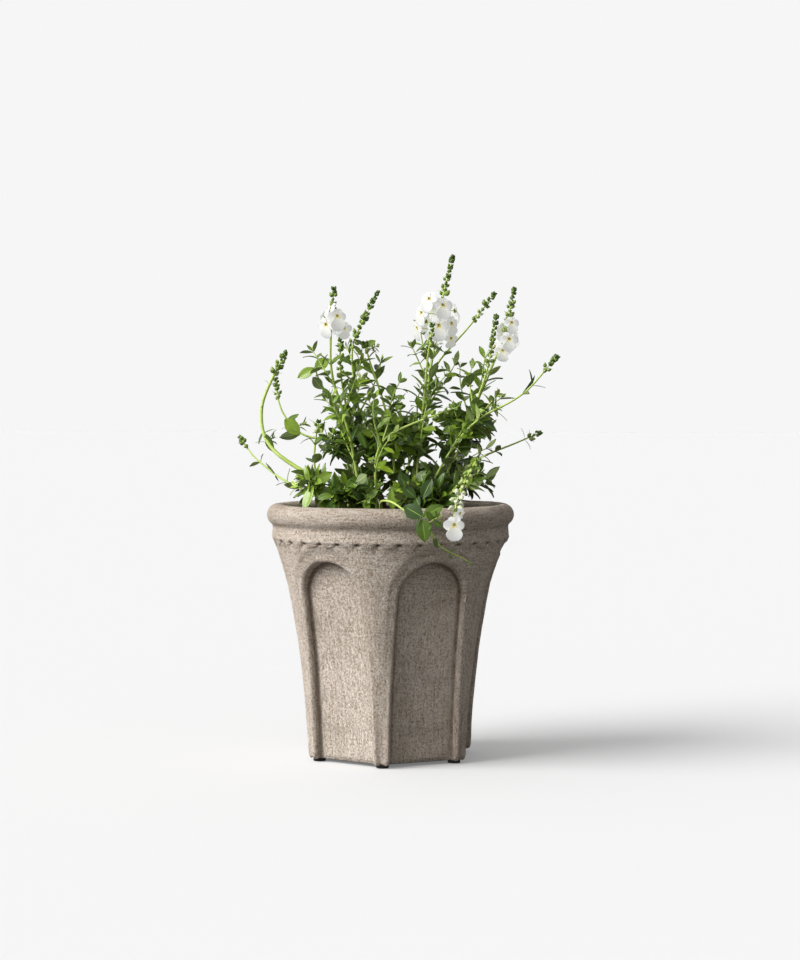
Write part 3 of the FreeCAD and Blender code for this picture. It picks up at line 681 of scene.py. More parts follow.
def modelBud():
    bpy.ops.mesh.primitive_uv_sphere_add(segments=8, ring_count=6, radius=0.5, location=(0, 0.5, 0),
                                         rotation=(math.radians(-90), 0, 0), calc_uvs=True)
    bud = bpy.context.object
    bud.name = "budPattern"
    settle(bud)
    for start, share in ((0.6, 0.62), (-1, 0.78)):   # the tip is drawn in, then the whole bud slimmed
        editPart(bud, lambda point: point.co.y > start)
        bpy.ops.transform.resize(value=(share, 1.0, share), center_override=(0, 0.5, 0))
        leaveEdit()
    dress(bud, budGreen)
    smooth(bud)
    addTone(bud)
    return bud


def modelThroat():
    # short yellow funnel with two little anthers in it
    bpy.ops.mesh.primitive_cone_add(vertices=12, radius1=0.045, radius2=0.095, depth=0.16,
                                    location=(0, 0, -0.075))
    funnel = bpy.context.object
    settle(funnel)
    editPart(funnel, lambda face: face.normal.z > 0.9, "FACE")
    bpy.ops.mesh.inset(thickness=0.02, depth=-0.05)
    leaveEdit()
    anthers = []
    for aside in (-0.028, 0.028):
        bpy.ops.mesh.primitive_uv_sphere_add(segments=8, ring_count=5, radius=0.022,
                                             location=(aside, 0.02, 0.015))
        settle(bpy.context.object)
        anthers.append(bpy.context.object)
    middle = joinPieces("throatPattern", [*anthers, funnel])
    dress(middle, throat)
    smooth(middle)
    addTone(middle)
    return middle


patterns = {kind: modelLeaf(kind) for kind in leafShapes}
patterns.update({kind: modelPetal(kind) for kind in petalShapes})
patterns["bud"] = modelBud()
patterns["throat"] = modelThroat()
patternPoints = {kind: meshPoints(pattern).astype(float) for kind, pattern in patterns.items()}
print("leaf, petal and bud patterns made")


def squareTo(along, up):
    # right-handed frame with its second way along and its third as near to up as it can be
    along = Vector(along).normalized()
    side = along.cross(Vector(up))
    if side.length < 1e-4:
        side = along.cross(Vector((1, 0.3, 0)))
    side.normalize()
    return np.array([side, along, side.cross(along)]).T


def place(kind, foot, along, up, length, width=1.0, droop=0.0, tone=0.5):
    # one copy of a pattern, bent by droop, standing at its foot
    piece = copyPiece(patterns[kind])
    points = patternPoints[kind]
    angle = droop * np.clip(points[:, 1], 0, 1.2)
    if abs(droop) > 0.01:
        run, fall = np.sin(angle) / droop, (1 - np.cos(angle)) / droop
    else:
        run, fall = points[:, 1], 0 * angle
    local = np.stack([points[:, 0] * width,
                      run + points[:, 2] * np.sin(angle),
                      points[:, 2] * np.cos(angle) - fall], 1) * length
    setPoints(piece, local @ squareTo(along, up).T + np.array(foot))
    piece.data.attributes["tone"].data.foreach_set("value", [tone] * len(points))
    return piece


# ---- stems

# Thickness from middle to edge, then the points each stem runs through after its foot on the soil
# straight below the first of them: to the side, to the back and above the soil, in mm.
stemRoutes = {
    "woody_left": (2.8, [(-28, -22, 18), (-24, -17, 40), (-28, -12, 60)]),
    "woody_right": (2.2, [(-2, -22, 16), (-10, -20, 38), (-19, -26, 58)]),
    "left_bloom": (1.6, [(-36, -8, 32), (-40, -20, 68), (-46, -29, 106), (-56, -38, 144),
                         (-66, -45, 176), (-68, -50, 214), (-64, -51, 262)]),
    "left_shoot": (1.25, [(-44, 8, 42), (-47, 2, 86), (-53, -8, 142), (-59, -14, 175),
                          (-60, -18, 210), (-57, -20, 232)]),
    "left_bud": (1.25, [(-24, 14, 44), (-33, 8, 90), (-40, 4, 142), (-46, 3, 176),
                        (-48, 2, 208), (-43, 3, 230), (-29, 5, 256)]),
    "left_leaves": (1.25, [(-54, 22, 46), (-55, 20, 90), (-61, 16, 126), (-72, 11, 150),
                           (-85, 6, 165), (-92, 3, 185)]),
    "inner_left": (1.25, [(6, -6, 50), (3, -10, 101), (-6, -17, 145), (-15, -22, 175),
                          (-23, -26, 196), (-27, -29, 214)]),
    "centre_bloom": (1.6, [(24, 12, 44), (29, 18, 80), (34, 23, 114), (42, 28, 156),
                           (47, 31, 196), (54, 33, 230), (59, 34, 270), (65, 35, 293)]),
    "centre_shoot": (1.25, [(32, -12, 54), (37, -4, 108), (42, -4, 160), (45, -8, 193),
                            (48, -9, 216), (51, -10, 232)]),
    "centre_bud": (1.25, [(28, 34, 52), (33, 42, 104), (38, 49, 150), (48, 57, 190),
                          (67, 65, 214), (93, 75, 243), (111, 81, 268)]),
    "right_bloom": (1.6, [(50, 10, 34), (64, 14, 66), (83, 19, 101), (100, 26, 140),
                          (114, 33, 173), (125, 39, 201), (137, 44, 230), (142, 47, 258)]),
    "right_shoot": (1.25, [(54, -8, 34), (74, -4, 70), (92, 0, 108), (105, 0, 150),
                           (115, -1, 176), (122, -2, 206), (125, -2, 228)]),
    "right_bud": (1.25, [(44, -26, 30), (59, -24, 62), (79, -22, 95), (96, -27, 116),
                         (118, -32, 133), (138, -37, 142), (156, -41, 152), (174, -45, 166),
                          (190, -47, 186)]),
    "right_low": (1.25, [(50, 30, 26), (72, 46, 56), (102, 54, 77), (127, 61, 88),
                         (146, 65, 95), (164, 69, 103)]),
    "droop": (1.25, [(66, -52, 22), (84, -68, 46), (104, -88, 68), (115, -104, 83),
                     (110, -116, 76), (102, -122, 62), (95, -131, 45), (90, -144, 29), (89, -158, 15)]),
    "cross": (1.25, [(-12, -48, 40), (-13, -60, 78), (-2, -69, 104), (20, -72, 116),
                     (42, -70, 125), (64, -66, 133), (86, -60, 141)]),
    "left_arch": (2.2, [(-44, -44, 14), (-62, -46, 32), (-91, -39, 58), (-120, -32, 74),
                        (-141, -24, 89), (-155, -15, 109), (-158, -8, 140), (-151, -1, 164), (-141, 2, 184)]),
    "left_curl": (1.25, [(-62, -2, 16), (-83, 2, 28), (-105, 10, 38), (-126, 26, 46),
                         (-146, 40, 56), (-162, 52, 67), (-180, 62, 80), (-190, 70, 93)]),
    "left_side": (1.25, [(-38, 34, 40), (-45, 39, 72), (-64, 45, 96), (-96, 53, 101),
                         (-119, 58, 107), (-138, 64, 126), (-149, 67, 148), (-151, 71, 172)]),
    "left_upright": (1.25, [(-64, -22, 18), (-80, -20, 37), (-91, -20, 62), (-90, -23, 98),
                            (-85, -25, 121)]),
    "back_left": (1.6, [(-16, 46, 34), (-28, 68, 62), (-40, 92, 88), (-46, 118, 112)]),
    "back_middle": (1.6, [(12, 54, 38), (16, 78, 74), (14, 103, 100), (16, 126, 120)]),
    "back_right": (1.6, [(44, 54, 30), (60, 78, 56), (76, 106, 80), (88, 133, 98), (96, 152, 112)]),
}

# These hang over the rim: bearing round the pot from its front corner, distance out from the rim
# and height above the rim, but above the soil for the first point.
rimRoutes = {
    "front_trail": (1.25, [(-4, -82, 16), (-2, -58, 5), (2, -32, 9), (7, -9, 8), (12, 5, -2),
                           (17, 15, -11), (21, 18, -20), (23, 18, -33), (26, 18, -43), (30, 19, -50),
                           (35, 20, -56), (39, 20, -63)]),
    "back_trail": (1.25, [(206, -84, 16), (204, -60, 6), (201, -34, 12), (199, -10, 11),
                          (196, 8, 2), (194, 18, -14), (191, 20, -34), (187, 18, -52)]),
}


def fromSoil(point):
    return Vector((point[0] * mm, point[1] * mm, soilHeight + point[2] * mm))


def fromRim(point, level):
    angle = math.radians(point[0])
    reach = rimRadius + point[1] * mm
    return Vector((reach * math.sin(angle), -reach * math.cos(angle), level + point[2] * mm))


def withFoot(points):
    return [(*points[0][:2], 0), *points]


routes = {name: (radius, [fromSoil(point) for point in withFoot(points)])
          for name, (radius, points) in stemRoutes.items()}
for name, (radius, points) in rimRoutes.items():
    routes[name] = (radius, [fromRim(point, soilHeight if index < 2 else potHigh.z)
                             for index, point in enumerate(withFoot(points))])


def drawTube(name, points, radius, tip=0.6, sides=2, fineness=5, material=greenStem, foot=1.12):
    # smooth tube along the points, tapering from foot to tip; also gives its middle line
    curve = bpy.data.curves.new(name, "CURVE")
    curve.dimensions = "3D"
    curve.resolution_u = fineness
    spline = curve.splines.new("NURBS")
    spline.points.add(len(points) - 1)
    for index, point in enumerate(points):
        spline.points[index].co = (*point, 1)
        spline.points[index].radius = foot + (tip - foot) * index / (len(points) - 1)
    spline.order_u = 3
    spline.use_endpoint_u = True
    tube = bpy.data.objects.new(name, curve)
    bpy.context.scene.collection.objects.link(tube)
    bpy.context.view_layer.update()
    bare = bpy.data.meshes.new_from_object(tube)
    line = np.array([vertex.co for vertex in bare.vertices])
    bpy.data.meshes.remove(bare)
    curve.bevel_depth = radius
    curve.bevel_resolution = sides
    curve.use_fill_caps = True
    pick(tube)
    bpy.ops.object.convert(target="MESH")
    tube = bpy.context.object
    dress(tube, material)
    addTone(tube)
    smooth(tube)
    return tube, line


def alongLine(line, share):
    # point and direction at a share of the line's length
    steps = np.linalg.norm(np.diff(line, axis=0), axis=1)
    reach = np.concatenate([[0], np.cumsum(steps)])
    target = share * reach[-1]
    index = min(max(int(np.searchsorted(reach, target)) - 1, 0), len(steps) - 1)
    part = (target - reach[index]) / max(steps[index], 1e-9)
    point = line[index] + (line[index + 1] - line[index]) * part
    return Vector(point), Vector(line[index + 1] - line[index]).normalized()


def across(direction, angle):
    # way out of a stem, turned about it by the angle
    direction = Vector(direction)
    start = direction.cross(Vector((0.2, 1, 0.1))).normalized()
    return Matrix.Rotation(angle, 3, direction) @ start


# How far each leaf strays from what its pair is given.
leafStray = {"lean": (0.7, 2.6), "roll": (-0.8, 0.8), "length": (0.8, 1.15), "width": (0.85, 1.15),
             "droop": (-0.25, 0.35), "tone": (-0.26, 0.24)}


def leafPair(line, share, kind, length, turn, lean, tone, dice, droop=0.5):
    # two leaves facing each other across the stem; lean is how far they stand up along it
    point, direction = alongLine(line, share)
    made = []
    for half in (0, math.pi):
        out = across(direction, turn + half)
        along = (out + direction * lean * dice.uniform(*leafStray["lean"])).normalized()
        roll = across(direction, turn + half + math.pi / 2) * dice.uniform(*leafStray["roll"])
        up = (direction - out * 0.25) if direction.z > -0.2 else (-direction)
        size, width = length * dice.uniform(*leafStray["length"]), dice.uniform(*leafStray["width"])
        bend, shade = droop + dice.uniform(*leafStray["droop"]), tone + dice.uniform(*leafStray["tone"])
        made.append(place(kind, point + out * 0.6 * mm, along, up + roll + Vector((0, 0, 0.4)),
                          size, width, bend, min(1, max(0, shade))))
    return made


# How each upright stem is clothed: where its leaf pairs start and end as shares of its length, how
# many pairs, their length at both ends in mm, and how many side shoots.
leafyStems = {
    "left_bloom": (0.20, 0.74, 7, 34, 18, 4), "left_shoot": (0.22, 0.70, 6, 33, 18, 3),
    "left_bud": (0.20, 0.74, 7, 34, 18, 4), "left_leaves": (0.25, 0.72, 5, 31, 20, 2),
    "inner_left": (0.24, 0.84, 6, 38, 20, 4), "centre_bloom": (0.18, 0.68, 7, 40, 20, 4),
    "centre_shoot": (0.22, 0.70, 5, 39, 22, 2), "centre_bud": (0.20, 0.72, 7, 38, 18, 4),
    "right_bloom": (0.22, 0.70, 7, 40, 18, 4), "right_shoot": (0.22, 0.72, 6, 38, 18, 4),
    "right_bud": (0.22, 0.58, 5, 34, 22, 2), "right_low": (0.26, 0.60, 4, 28, 20, 0),
    "cross": (0.18, 0.60, 4, 30, 20, 3), "left_side": (0.20, 0.50, 4, 30, 20, 2),
    "left_upright": (0.28, 0.80, 4, 23, 18, 0), "back_left": (0.25, 0.94, 6, 30, 20, 2),
    "back_middle": (0.25, 0.94, 6, 30, 20, 2), "back_right": (0.25, 0.94, 6, 30, 19, 2),
    "left_arch": (0.14, 0.33, 3, 31, 24, 0), "left_curl": (0.16, 0.54, 4, 25, 19, 0),
    "droop": (0.16, 0.46, 4, 28, 15, 0),
}

# Leaf pairs given one by one further out: (share of the length, leaf kind, length in mm, tone).
outerLeaves = {
    "left_arch": [(0.62, "thin", 16, 0.6), (0.80, "thin", 10, 0.6), (0.93, "thin", 9, 0.7)],
    "left_curl": [(0.66, "thin", 18, 0.4), (0.82, "long", 14, 0.5)],
    "left_side": [(0.60, "thin", 20, 0.4), (0.74, "thin", 13, 0.5), (0.94, "thin", 10, 0.5)],
    "right_bud": [(0.68, "thin", 18, 0.5), (0.84, "thin", 32, 0.35), (0.90, "thin", 18, 0.5)],
    "right_low": [(0.74, "broad", 13, 0.35), (0.97, "thin", 18, 0.3)],
    "droop": [(0.52, "thin", 14, 0.7), (0.62, "thin", 11, 0.8)],
    "cross": [(0.72, "thin", 14, 0.7), (0.90, "thin", 16, 0.5)],
    "left_upright": [(0.98, "thin", 14, 0.4)],
    "front_trail": [(0.50, "thin", 14, 0.75), (0.74, "broad", 12, 0.6), (0.86, "broad", 9, 0.5),
                    (0.97, "thin", 11, 0.4)],
    "back_trail": [(0.40, "long", 16, 0.5), (0.66, "broad", 18, 0.45), (0.84, "broad", 14, 0.5),
                   (0.97, "thin", 12, 0.6)],
}


# The rolled rim as leaves see it: its thickness from middle to edge with a little room, how far its
# middle lies in from its edge and below the top, the room left beside it, and how far down it counts.
rimValues = {"roll": 14.2 * mm, "middle": 13 * mm, "inside": 1 * mm, "outside": 1.2 * mm, "down": 60 * mm}


def clearRim(piece):
    # leaves that would cut through the rolled rim lie over it or beside it instead
    points = meshPoints(piece).astype(float)
    reach, heights = np.hypot(points[:, 0], points[:, 1]), points[:, 2]
    roll, middle, level = rimValues["roll"], rimRadius - rimValues["middle"], potHigh.z - rimValues["middle"]
    inner, outer = middle - roll - rimValues["inside"], rimRadius + rimValues["outside"]
    near = (reach > inner) & (reach < outer) & (heights > level - rimValues["down"])
    over = level + np.sqrt(np.maximum(roll**2 - (reach - middle) ** 2, 0))
    inside = near & (reach < middle - 0.3 * roll) & (heights < over)
    onTop = near & ~inside & (heights >= level - 2 * mm) & (heights < over)
    beyond = near & ~inside & (heights < level - 2 * mm)
    wanted = np.where(inside, inner, np.where(beyond, outer, reach))
    points[:, :2] *= (wanted / np.maximum(reach, 1e-6))[:, None]
    points[onTop, 2] = over[onTop]
    setPoints(piece, points)


def shootFrom(start, end, pairs, length, tone, dice, kinds=("broad", "long"), thick=0.85):
    # a thin side shoot with leaf pairs up it and a small tuft at its end
    bow = (end - start).length * 0.16
    middle = (start + end) / 2 + Vector((dice.uniform(-bow, bow), dice.uniform(-bow, bow), bow * 0.5))
    tube, line = drawTube("shoot", [start, middle, end], thick * mm, tip=0.6, sides=1, fineness=4)
    made = [tube]
    turn = dice.uniform(0, math.pi)
    for index in range(pairs):
        share = 0.22 + 0.7 * (index + 0.5) / pairs
        size = length * (1 - 0.35 * share) * dice.uniform(0.85, 1.1) * mm
        made += leafPair(line, share, dice.choice(kinds), size, turn, 0.45, tone, dice, 0.6)
        turn += math.pi / 2 + dice.uniform(-0.3, 0.3)
    # the tuft: place up the shoot, size, turn, how upright, how much paler, droop
    for share, size, spin, lean, paler, droop in ((0.98, 0.62, 0, 0.9, 0.08, 0.4),
                                                  (1.0, 0.36, math.pi / 2, 1.6, 0.25, 0.2)):
        made += leafPair(line, share, kinds[-1], length * size * mm, turn + spin, lean, tone + paler,
                         dice, droop)
    return made


stemFullness = 1.25    # the upright stems are drawn this much thicker than their solids
dice = random.Random(7)
middleLines = {}
for name, (radius, points) in routes.items():
    if name.startswith("woody"):
        continue
    members = []
    fullness = stemFullness if name in stemRoutes else 1.0
    tube, line = drawTube(name, points, radius * fullness * mm, tip=0.62)
    middleLines[name] = line
    turn = dice.uniform(0, math.pi)
    first, last, pairs, large, small, shoots = leafyStems.get(name, (0, 0, 0, 0, 0, 0))
    for index in range(pairs):
        part = index / (pairs - 1)
        kind = dice.choice(("broad", "long") if part < 0.5 else ("long", "long", "broad"))
        members += leafPair(line, first + (last - first) * part, kind, (large + (small - large) * part) * mm,
                            turn, 0.45 + 0.5 * part, 0.34 + 0.22 * part, dice)
        turn += math.pi / 2 + dice.uniform(-0.3, 0.3)
    for index in range(shoots):
        start, way = alongLine(line, first + 0.04 + (last - first - 0.08) * (index + 0.4) / shoots)
        out = across(way, turn)
        inward = Vector((-start.x, -start.y, 0)) * 1.5
        far = (way + out * 0.75 + inward + Vector((0, 0, 0.3))).normalized() * dice.uniform(44, 74) * mm
        members += shootFrom(start, start + far, 3, 26, 0.48 + dice.uniform(-0.12, 0.14), dice,
                             ("long", "broad", "long"), 1.0)
        turn += 2.2
    for share, kind, length, tone in outerLeaves.get(name, ()):
        members += leafPair(line, share, kind, length * mm, turn, 0.55, tone, dice)
        turn += math.pi / 2 + dice.uniform(-0.3, 0.3)
    stem = joinPieces(f"stem_{name}_grown", [*members, tube])
    clearRim(stem)
    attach(stem, "planting")
    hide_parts(f"stem_{name}")
print("stems made")

woodValues = {"knots": 0.35, "stubs": [(0.55, 0.8, 9), (0.8, 3.6, 7)]}


def makeWoodyCrown():
    # the old stems at the middle, knotted, with the stubs of cut shoots
    members = []
    for name in ("woody_left", "woody_right"):
        radius, points = routes[name]
        tube, line = drawTube(name, points, radius * mm, tip=0.9, sides=4, fineness=10, material=woodStem)
        spots = meshPoints(tube).astype(float)
        lumps = np.array([noise.noise(Vector(spot) * 160) for spot in spots])
        nearest = line[np.argmin(((spots[:, None] - line[None]) ** 2).sum(2), axis=1)]
        setPoints(tube, nearest + (spots - nearest) * (1 + woodValues["knots"] * lumps)[:, None])
        members.append(tube)
        for share, turn, length in woodValues["stubs"]:
            point, direction = alongLine(line, share)
            end = point + (across(direction, turn) + direction * 0.7).normalized() * length * mm
            bend = (point + end) / 2 + Vector((0, 0, 0.6 * mm))
            stub, _ = drawTube("stub", [point, bend, end], radius * 0.5 * mm, tip=0.9, material=woodStem)
            members.append(stub)
    crown = joinPieces("woodyCrown", members)
    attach(crown, "planting")
    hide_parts("woody_crown")


makeWoodyCrown()


# ---- leafy masses

def nearestStem(point, lines):
    # the nearest place on any stem that is not above the point
    best = None
    for line in lines:
        below = line[line[:, 2] < point.z + 4 * mm]
        if len(below) == 0:
            continue
        gaps = np.linalg.norm(below - np.array(point), axis=1)
        index = int(np.argmin(gaps))
        if best is None or gaps[index] < best[0]:
            best = (gaps[index], Vector(below[index]))
    return best[1]


# Shoots in each mass, leaf length in mm, tone, and leaf kinds.
foliageValues = {
    "foliage_front_left": (12, 34, 0.34, ("broad", "long")),
    "foliage_front_right": (13, 34, 0.38, ("broad", "long")),
    "foliage_middle": (17, 33, 0.38, ("long", "broad")),
    "foliage_right": (13, 31, 0.42, ("long", "broad")),
    "foliage_low_right": (11, 31, 0.36, ("long", "broad")),
    "foliage_back_left": (13, 29, 0.38, ("broad", "long")),
    "foliage_back_right": (13, 29, 0.38, ("broad", "long")),
    "foliage_left": (10, 23, 0.40, ("broad", "long")),
    "leaves_rim_left": (6, 25, 0.46, ("long", "long")),
    "leaves_left_side": (1, 15, 0.5, ("broad", "long")),
    "leaves_left_arch": (1, 12, 0.4, ("broad", "long")),
    "leaves_left_high": (0, 14, 0.5, ("broad", "long")),
    "leaves_inner_left": (1, 12, 0.5, ("broad", "long")),
    "leaves_centre": (2, 14, 0.45, ("long", "thin")),
    "leaves_right_arch": (2, 16, 0.4, ("long", "thin")),
    "leaves_low_right": (2, 17, 0.4, ("long", "thin")),
    "leaves_back_left": (6, 19, 0.42, ("long", "broad")),
    "leaves_back_middle": (6, 19, 0.42, ("long", "broad")),
    "leaves_back_right": (5, 18, 0.42, ("long", "broad")),
    "leaves_front": (1, 16, 0.5, ("broad", "long")),
    "leaves_back_trail": (4, 16, 0.45, ("broad", "long")),
}

# Leaves that stand out by themselves: foot and tip (to the side, to the back and above the soil, in
# mm), kind, width, tone and which way the upper side looks.
lead, sky, left, right = (0, -1, 0.35), (0, -0.5, 1), (-1, -0.6, 0.6), (0.8, -0.7, 0.5)
singleLeaves = {
    "leaves_left_high": [
        ((-92, -4, 188), (-113, -7, 178), "broad", 1.0, 0.66, lead),
        ((-92, -4, 188), (-76, -4, 200), "broad", 1.35, 0.62, lead),
        ((-83, -6, 163), (-94, -9, 177), "broad", 1.2, 0.05, (0, 1, -0.3)),
        ((-74, 0, 158), (-93, -1, 156), "long", 0.9, 0.35, sky)],
    "leaves_inner_left": [
        ((-27, -29, 214), (-39, -31, 224), "broad", 0.9, 0.35, sky),
        ((-27, -29, 214), (-16, -30, 221), "broad", 1.2, 0.70, lead)],
    "leaves_left_side": [
        ((-138, 58, 126), (-120, 52, 108), "broad", 1.15, 0.68, lead),
        ((-136, 60, 122), (-124, 66, 134), "broad", 1.0, 0.40, sky),
        ((-119, 58, 108), (-144, 56, 104), "broad", 0.8, 0.15, (0, 1, 0.2))],
    "leaves_left_arch": [
        ((-150, -19, 108), (-143, -24, 87), "broad", 1.15, 0.25, left),
        ((-154, -14, 111), (-162, -14, 98), "broad", 0.9, 0.30, left),
        ((-152, -16, 110), (-142, -12, 116), "thin", 1.2, 0.45, sky)],
    "leaves_rim_left": [
        ((-86, -68, 48), (-98, -78, 21), "broad", 0.8, 0.66, (-0.6, -1, 0.5)),
        ((-84, -60, 46), (-112, -58, 38), "broad", 0.8, 0.55, sky),
        ((-87, -58, 49), (-66, -57, 64), "broad", 1.0, 0.62, lead),
        ((-92, -50, 46), (-110, -42, 36), "long", 1.0, 0.30, left),
        ((-88, -64, 44), (-76, -72, 30), "thin", 1.6, 0.8, lead)],
    "leaves_front": [
        ((54, -165, 16), (33, -164, 29), "broad", 1.35, 0.16, lead),
        ((54, -166, 16), (76, -163, 30), "broad", 0.95, 0.42, lead),
        ((54, -168, 14), (57, -173, -11), "broad", 1.15, 0.38, lead),
        ((52, -166, 17), (44, -168, 1), "long", 1.0, 0.18, left)],
    "leaves_right_arch": [
        ((108, -28, 130), (132, -32, 116), "long", 1.1, 0.25, sky),
        ((110, -30, 132), (100, -34, 146), "long", 1.0, 0.45, lead)],
    "leaves_centre": [
        ((46, -8, 218), (66, -10, 211), "thin", 2.0, 0.35, sky),
        ((46, -8, 218), (31, -12, 210), "thin", 2.2, 0.40, sky)],
    "leaves_low_right": [
        ((100, -76, 52), (122, -84, 62), "long", 0.9, 0.5, sky),
        ((100, -78, 50), (119, -86, 46), "thin", 1.6, 0.35, sky),
        ((98, -80, 48), (104, -92, 60), "long", 0.9, 0.6, lead)],
    "foliage_middle": [
        ((-26, -34, 92), (-38, -36, 112), "broad", 1.0, 0.30, left),
        ((8, -34, 96), (28, -36, 106), "long", 1.1, 0.2, lead)],
    "foliage_front_left": [
        ((-45, -62, 46), (-18, -66, 50), "long", 1.1, 0.12, sky),
        ((-34, -64, 52), (-20, -68, 60), "broad", 1.3, 0.1, (0, 1, -0.3)),
        ((-60, -68, 40), (-54, -76, 22), "thin", 1.8, 0.75, lead),
        ((-24, -74, 22), (-18, -76, 34), "broad", 1.0, 0.72, lead)],
    "foliage_front_right": [
        ((10, -74, 20), (8, -77, 44), "long", 1.0, 0.6, lead),
        ((38, -78, 34), (22, -82, 50), "broad", 1.0, 0.25, lead),
        ((46, -80, 34), (56, -84, 56), "broad", 1.1, 0.15, lead),
        ((50, -74, 44), (58, -76, 62), "broad", 1.2, 0.1, right)],
}


def fillMass(node):
    count, length, tone, kinds = foliageValues[node]
    low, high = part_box(node)
    middle, half = (low + high) / 2, (high - low) / 2
    members = []
    chance = random.Random(node)
    lines = list(middleLines.values())
    golden = math.pi * (3 - math.sqrt(5))
    for index in range(count):
        level = 0.95 - 1.35 * (index + 0.5) / count
        flat = math.sqrt(max(0.0, 1 - level * level))
        angle = index * golden + chance.uniform(-0.4, 0.4)
        reach = chance.uniform(0.55, 0.95)
        end = middle + Vector((half.x * flat * math.cos(angle), half.y * flat * math.sin(angle),
                               half.z * level)) * reach
        start = nearestStem(middle + (end - middle) * 0.35 - Vector((0, 0, half.z * 0.35)), lines)
        pairs = 3 if (end - start).length > length * 0.9 * mm else 2
        members += shootFrom(start, end, pairs, length, tone + chance.uniform(-0.12, 0.16), chance, kinds)
    for foot, tip, kind, width, shade, look in singleLeaves.get(node, ()):
        base, point = fromSoil(foot), fromSoil(tip)
        way = point - base
        members.append(place(kind, base, way, look, way.length * 1.06, width, 0.35, shade))
    mass = joinPieces(f"{node}_grown", members)
    clearRim(mass)
    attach(mass, "planting")
    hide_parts(node)


for node in foliageValues:
    fillMass(node)
print("leafy masses made")


# ---- flowers

# Throat of each flower (x, y, height above the soil in mm), the way it faces as a bearing from the
# front and a tilt up, and its width in mm.
flowerPlaces = {
    "flowers_left": ("left_bloom", [
        ((-57, -64, 249), 20, 5, 19), ((-71, -62, 239), -30, -8, 19), ((-66, -58, 259), -60, 25, 15),
        ((-60, -38, 244), 150, 0, 18), ((-76, -44, 248), 250, 5, 17)]),
    "flowers_inner": ("left_shoot", [((-53, -28, 236), 15, -5, 15), ((-60, -12, 234), 200, 10, 12)]),
    "flowers_centre": ("centre_bloom", [
        ((45, 20, 273), -25, 12, 19), ((62, 20, 265), 20, 5, 20), ((35, 24, 256), -45, 0, 19),
        ((57, 17, 240), 5, -8, 21), ((72, 27, 243), 50, -5, 19), ((29, 31, 238), -65, -10, 19),
        ((77, 42, 259), 100, 5, 19), ((49, 48, 264), 190, 8, 19), ((62, 50, 244), 160, -5, 19),
        ((38, 45, 246), 230, 0, 18), ((49, 24, 227), -15, -25, 18), ((71, 33, 225), 30, -30, 15)]),
    "flowers_right": ("right_bloom", [
        ((145, 38, 244), 25, 10, 16), ((142, 34, 224), 10, -5, 18), ((134, 36, 210), -15, -20, 17),
        ((133, 52, 236), 220, 5, 17), ((147, 52, 228), 130, 0, 17), ((124, 44, 216), -60, 0, 14)]),
    "flowers_front": ("droop", [((90, -166, 7), 4, -6, 20), ((96, -156, 20), 40, -40, 12)]),
}


# Each petal: shape, turn, length and width over the flower's size, and how far in front of the throat.
petalPlaces = [("lobe", 32, 0.44, 1.0, -0.09), ("lobe", -32, 0.44, 1.0, -0.065),
               ("lobe", 94, 0.52, 1.05, -0.035), ("lobe", -94, 0.52, 1.05, -0.01),
               ("lip", 180, 0.78, 1.0, 0.03)]


def makeFlower(throatPlace, bearing, tilt, width, line, dice):
    # two small lobes above, two at the sides and a large lip below
    angle, lift = math.radians(bearing), math.radians(tilt)
    face = Vector((math.sin(angle) * math.cos(lift), -math.cos(angle) * math.cos(lift), math.sin(lift)))
    side = Vector((0, 0, 1)).cross(face).normalized()
    top = face.cross(side)
    made = []
    size = width * 1.12 * mm
    for kind, turn, length, wide, layer in petalPlaces:
        spin = math.radians(turn + dice.uniform(-6, 6))
        out = top * math.cos(spin) + side * math.sin(spin)
        lean = dice.uniform(0.14, 0.20 if kind == "lobe" else 0.22)
        made.append(place(kind, throatPlace + (out * 0.045 + face * layer) * size, out + face * lean, face,
                          size * length * dice.uniform(0.94, 1.06), wide, dice.uniform(0.3, 0.42), 0.5))
    made.append(place("throat", throatPlace, top, face, size, 1.0, 0.0, dice.uniform(0.2, 0.6)))
    back = throatPlace - face * size * 0.14
    gaps = np.linalg.norm(line - np.array(back), axis=1) + 0.4 * np.maximum(line[:, 2] - back.z, 0)
    stalk = Vector(line[int(np.argmin(gaps))])
    bend = (back + stalk) / 2 - face * size * 0.12
    tube, _ = drawTube("pedicel", [stalk, bend, back], 0.55 * mm, tip=1.0, sides=1, fineness=3)
    made.append(tube)
    for turn in (0, 72, 144, 216, 288):
        spin = math.radians(turn)
        out = top * math.cos(spin) + side * math.sin(spin)
        made.append(place("bud", back, out + face * 0.45, out, size * 0.17, 0.5, 0.0, 0.45))
    return made


dice = random.Random(21)
for node, (stemName, places) in flowerPlaces.items():
    members = []
    for spot, bearing, tilt, width in places:
        members += makeFlower(fromSoil(spot), bearing, tilt, width, middleLines[stemName], dice)
    bloom = joinPieces(f"{node}_grown", members)
    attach(bloom, "planting")
    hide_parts(node)
print("flowers made")


# ---- bud spikes

# Length of stem that carries buds, in mm, extra length past its end, and how many pairs.
spikeValues = {
    "left_bloom": (16, 19, 11), "left_bud": (52, 26, 20), "centre_bloom": (30, 31, 20),
    "centre_shoot": (22, 8, 7), "centre_bud": (30, 17, 13), "right_bloom": (30, 27, 18),
    "right_shoot": (50, 23, 20), "right_bud": (6, 18, 9), "right_low": (4, 16, 5),
    "left_arch": (6, 26, 11), "left_curl": (8, 15, 5), "left_shoot": (60, 3, 13),
    "left_side": (24, 3, 8), "cross": (50, 2, 8), "inner_left": (12, 3, 4), "left_upright": (16, 3, 4),
    "back_left": (14, 4, 5), "back_middle": (14, 4, 5), "back_right": (14, 4, 5),
}


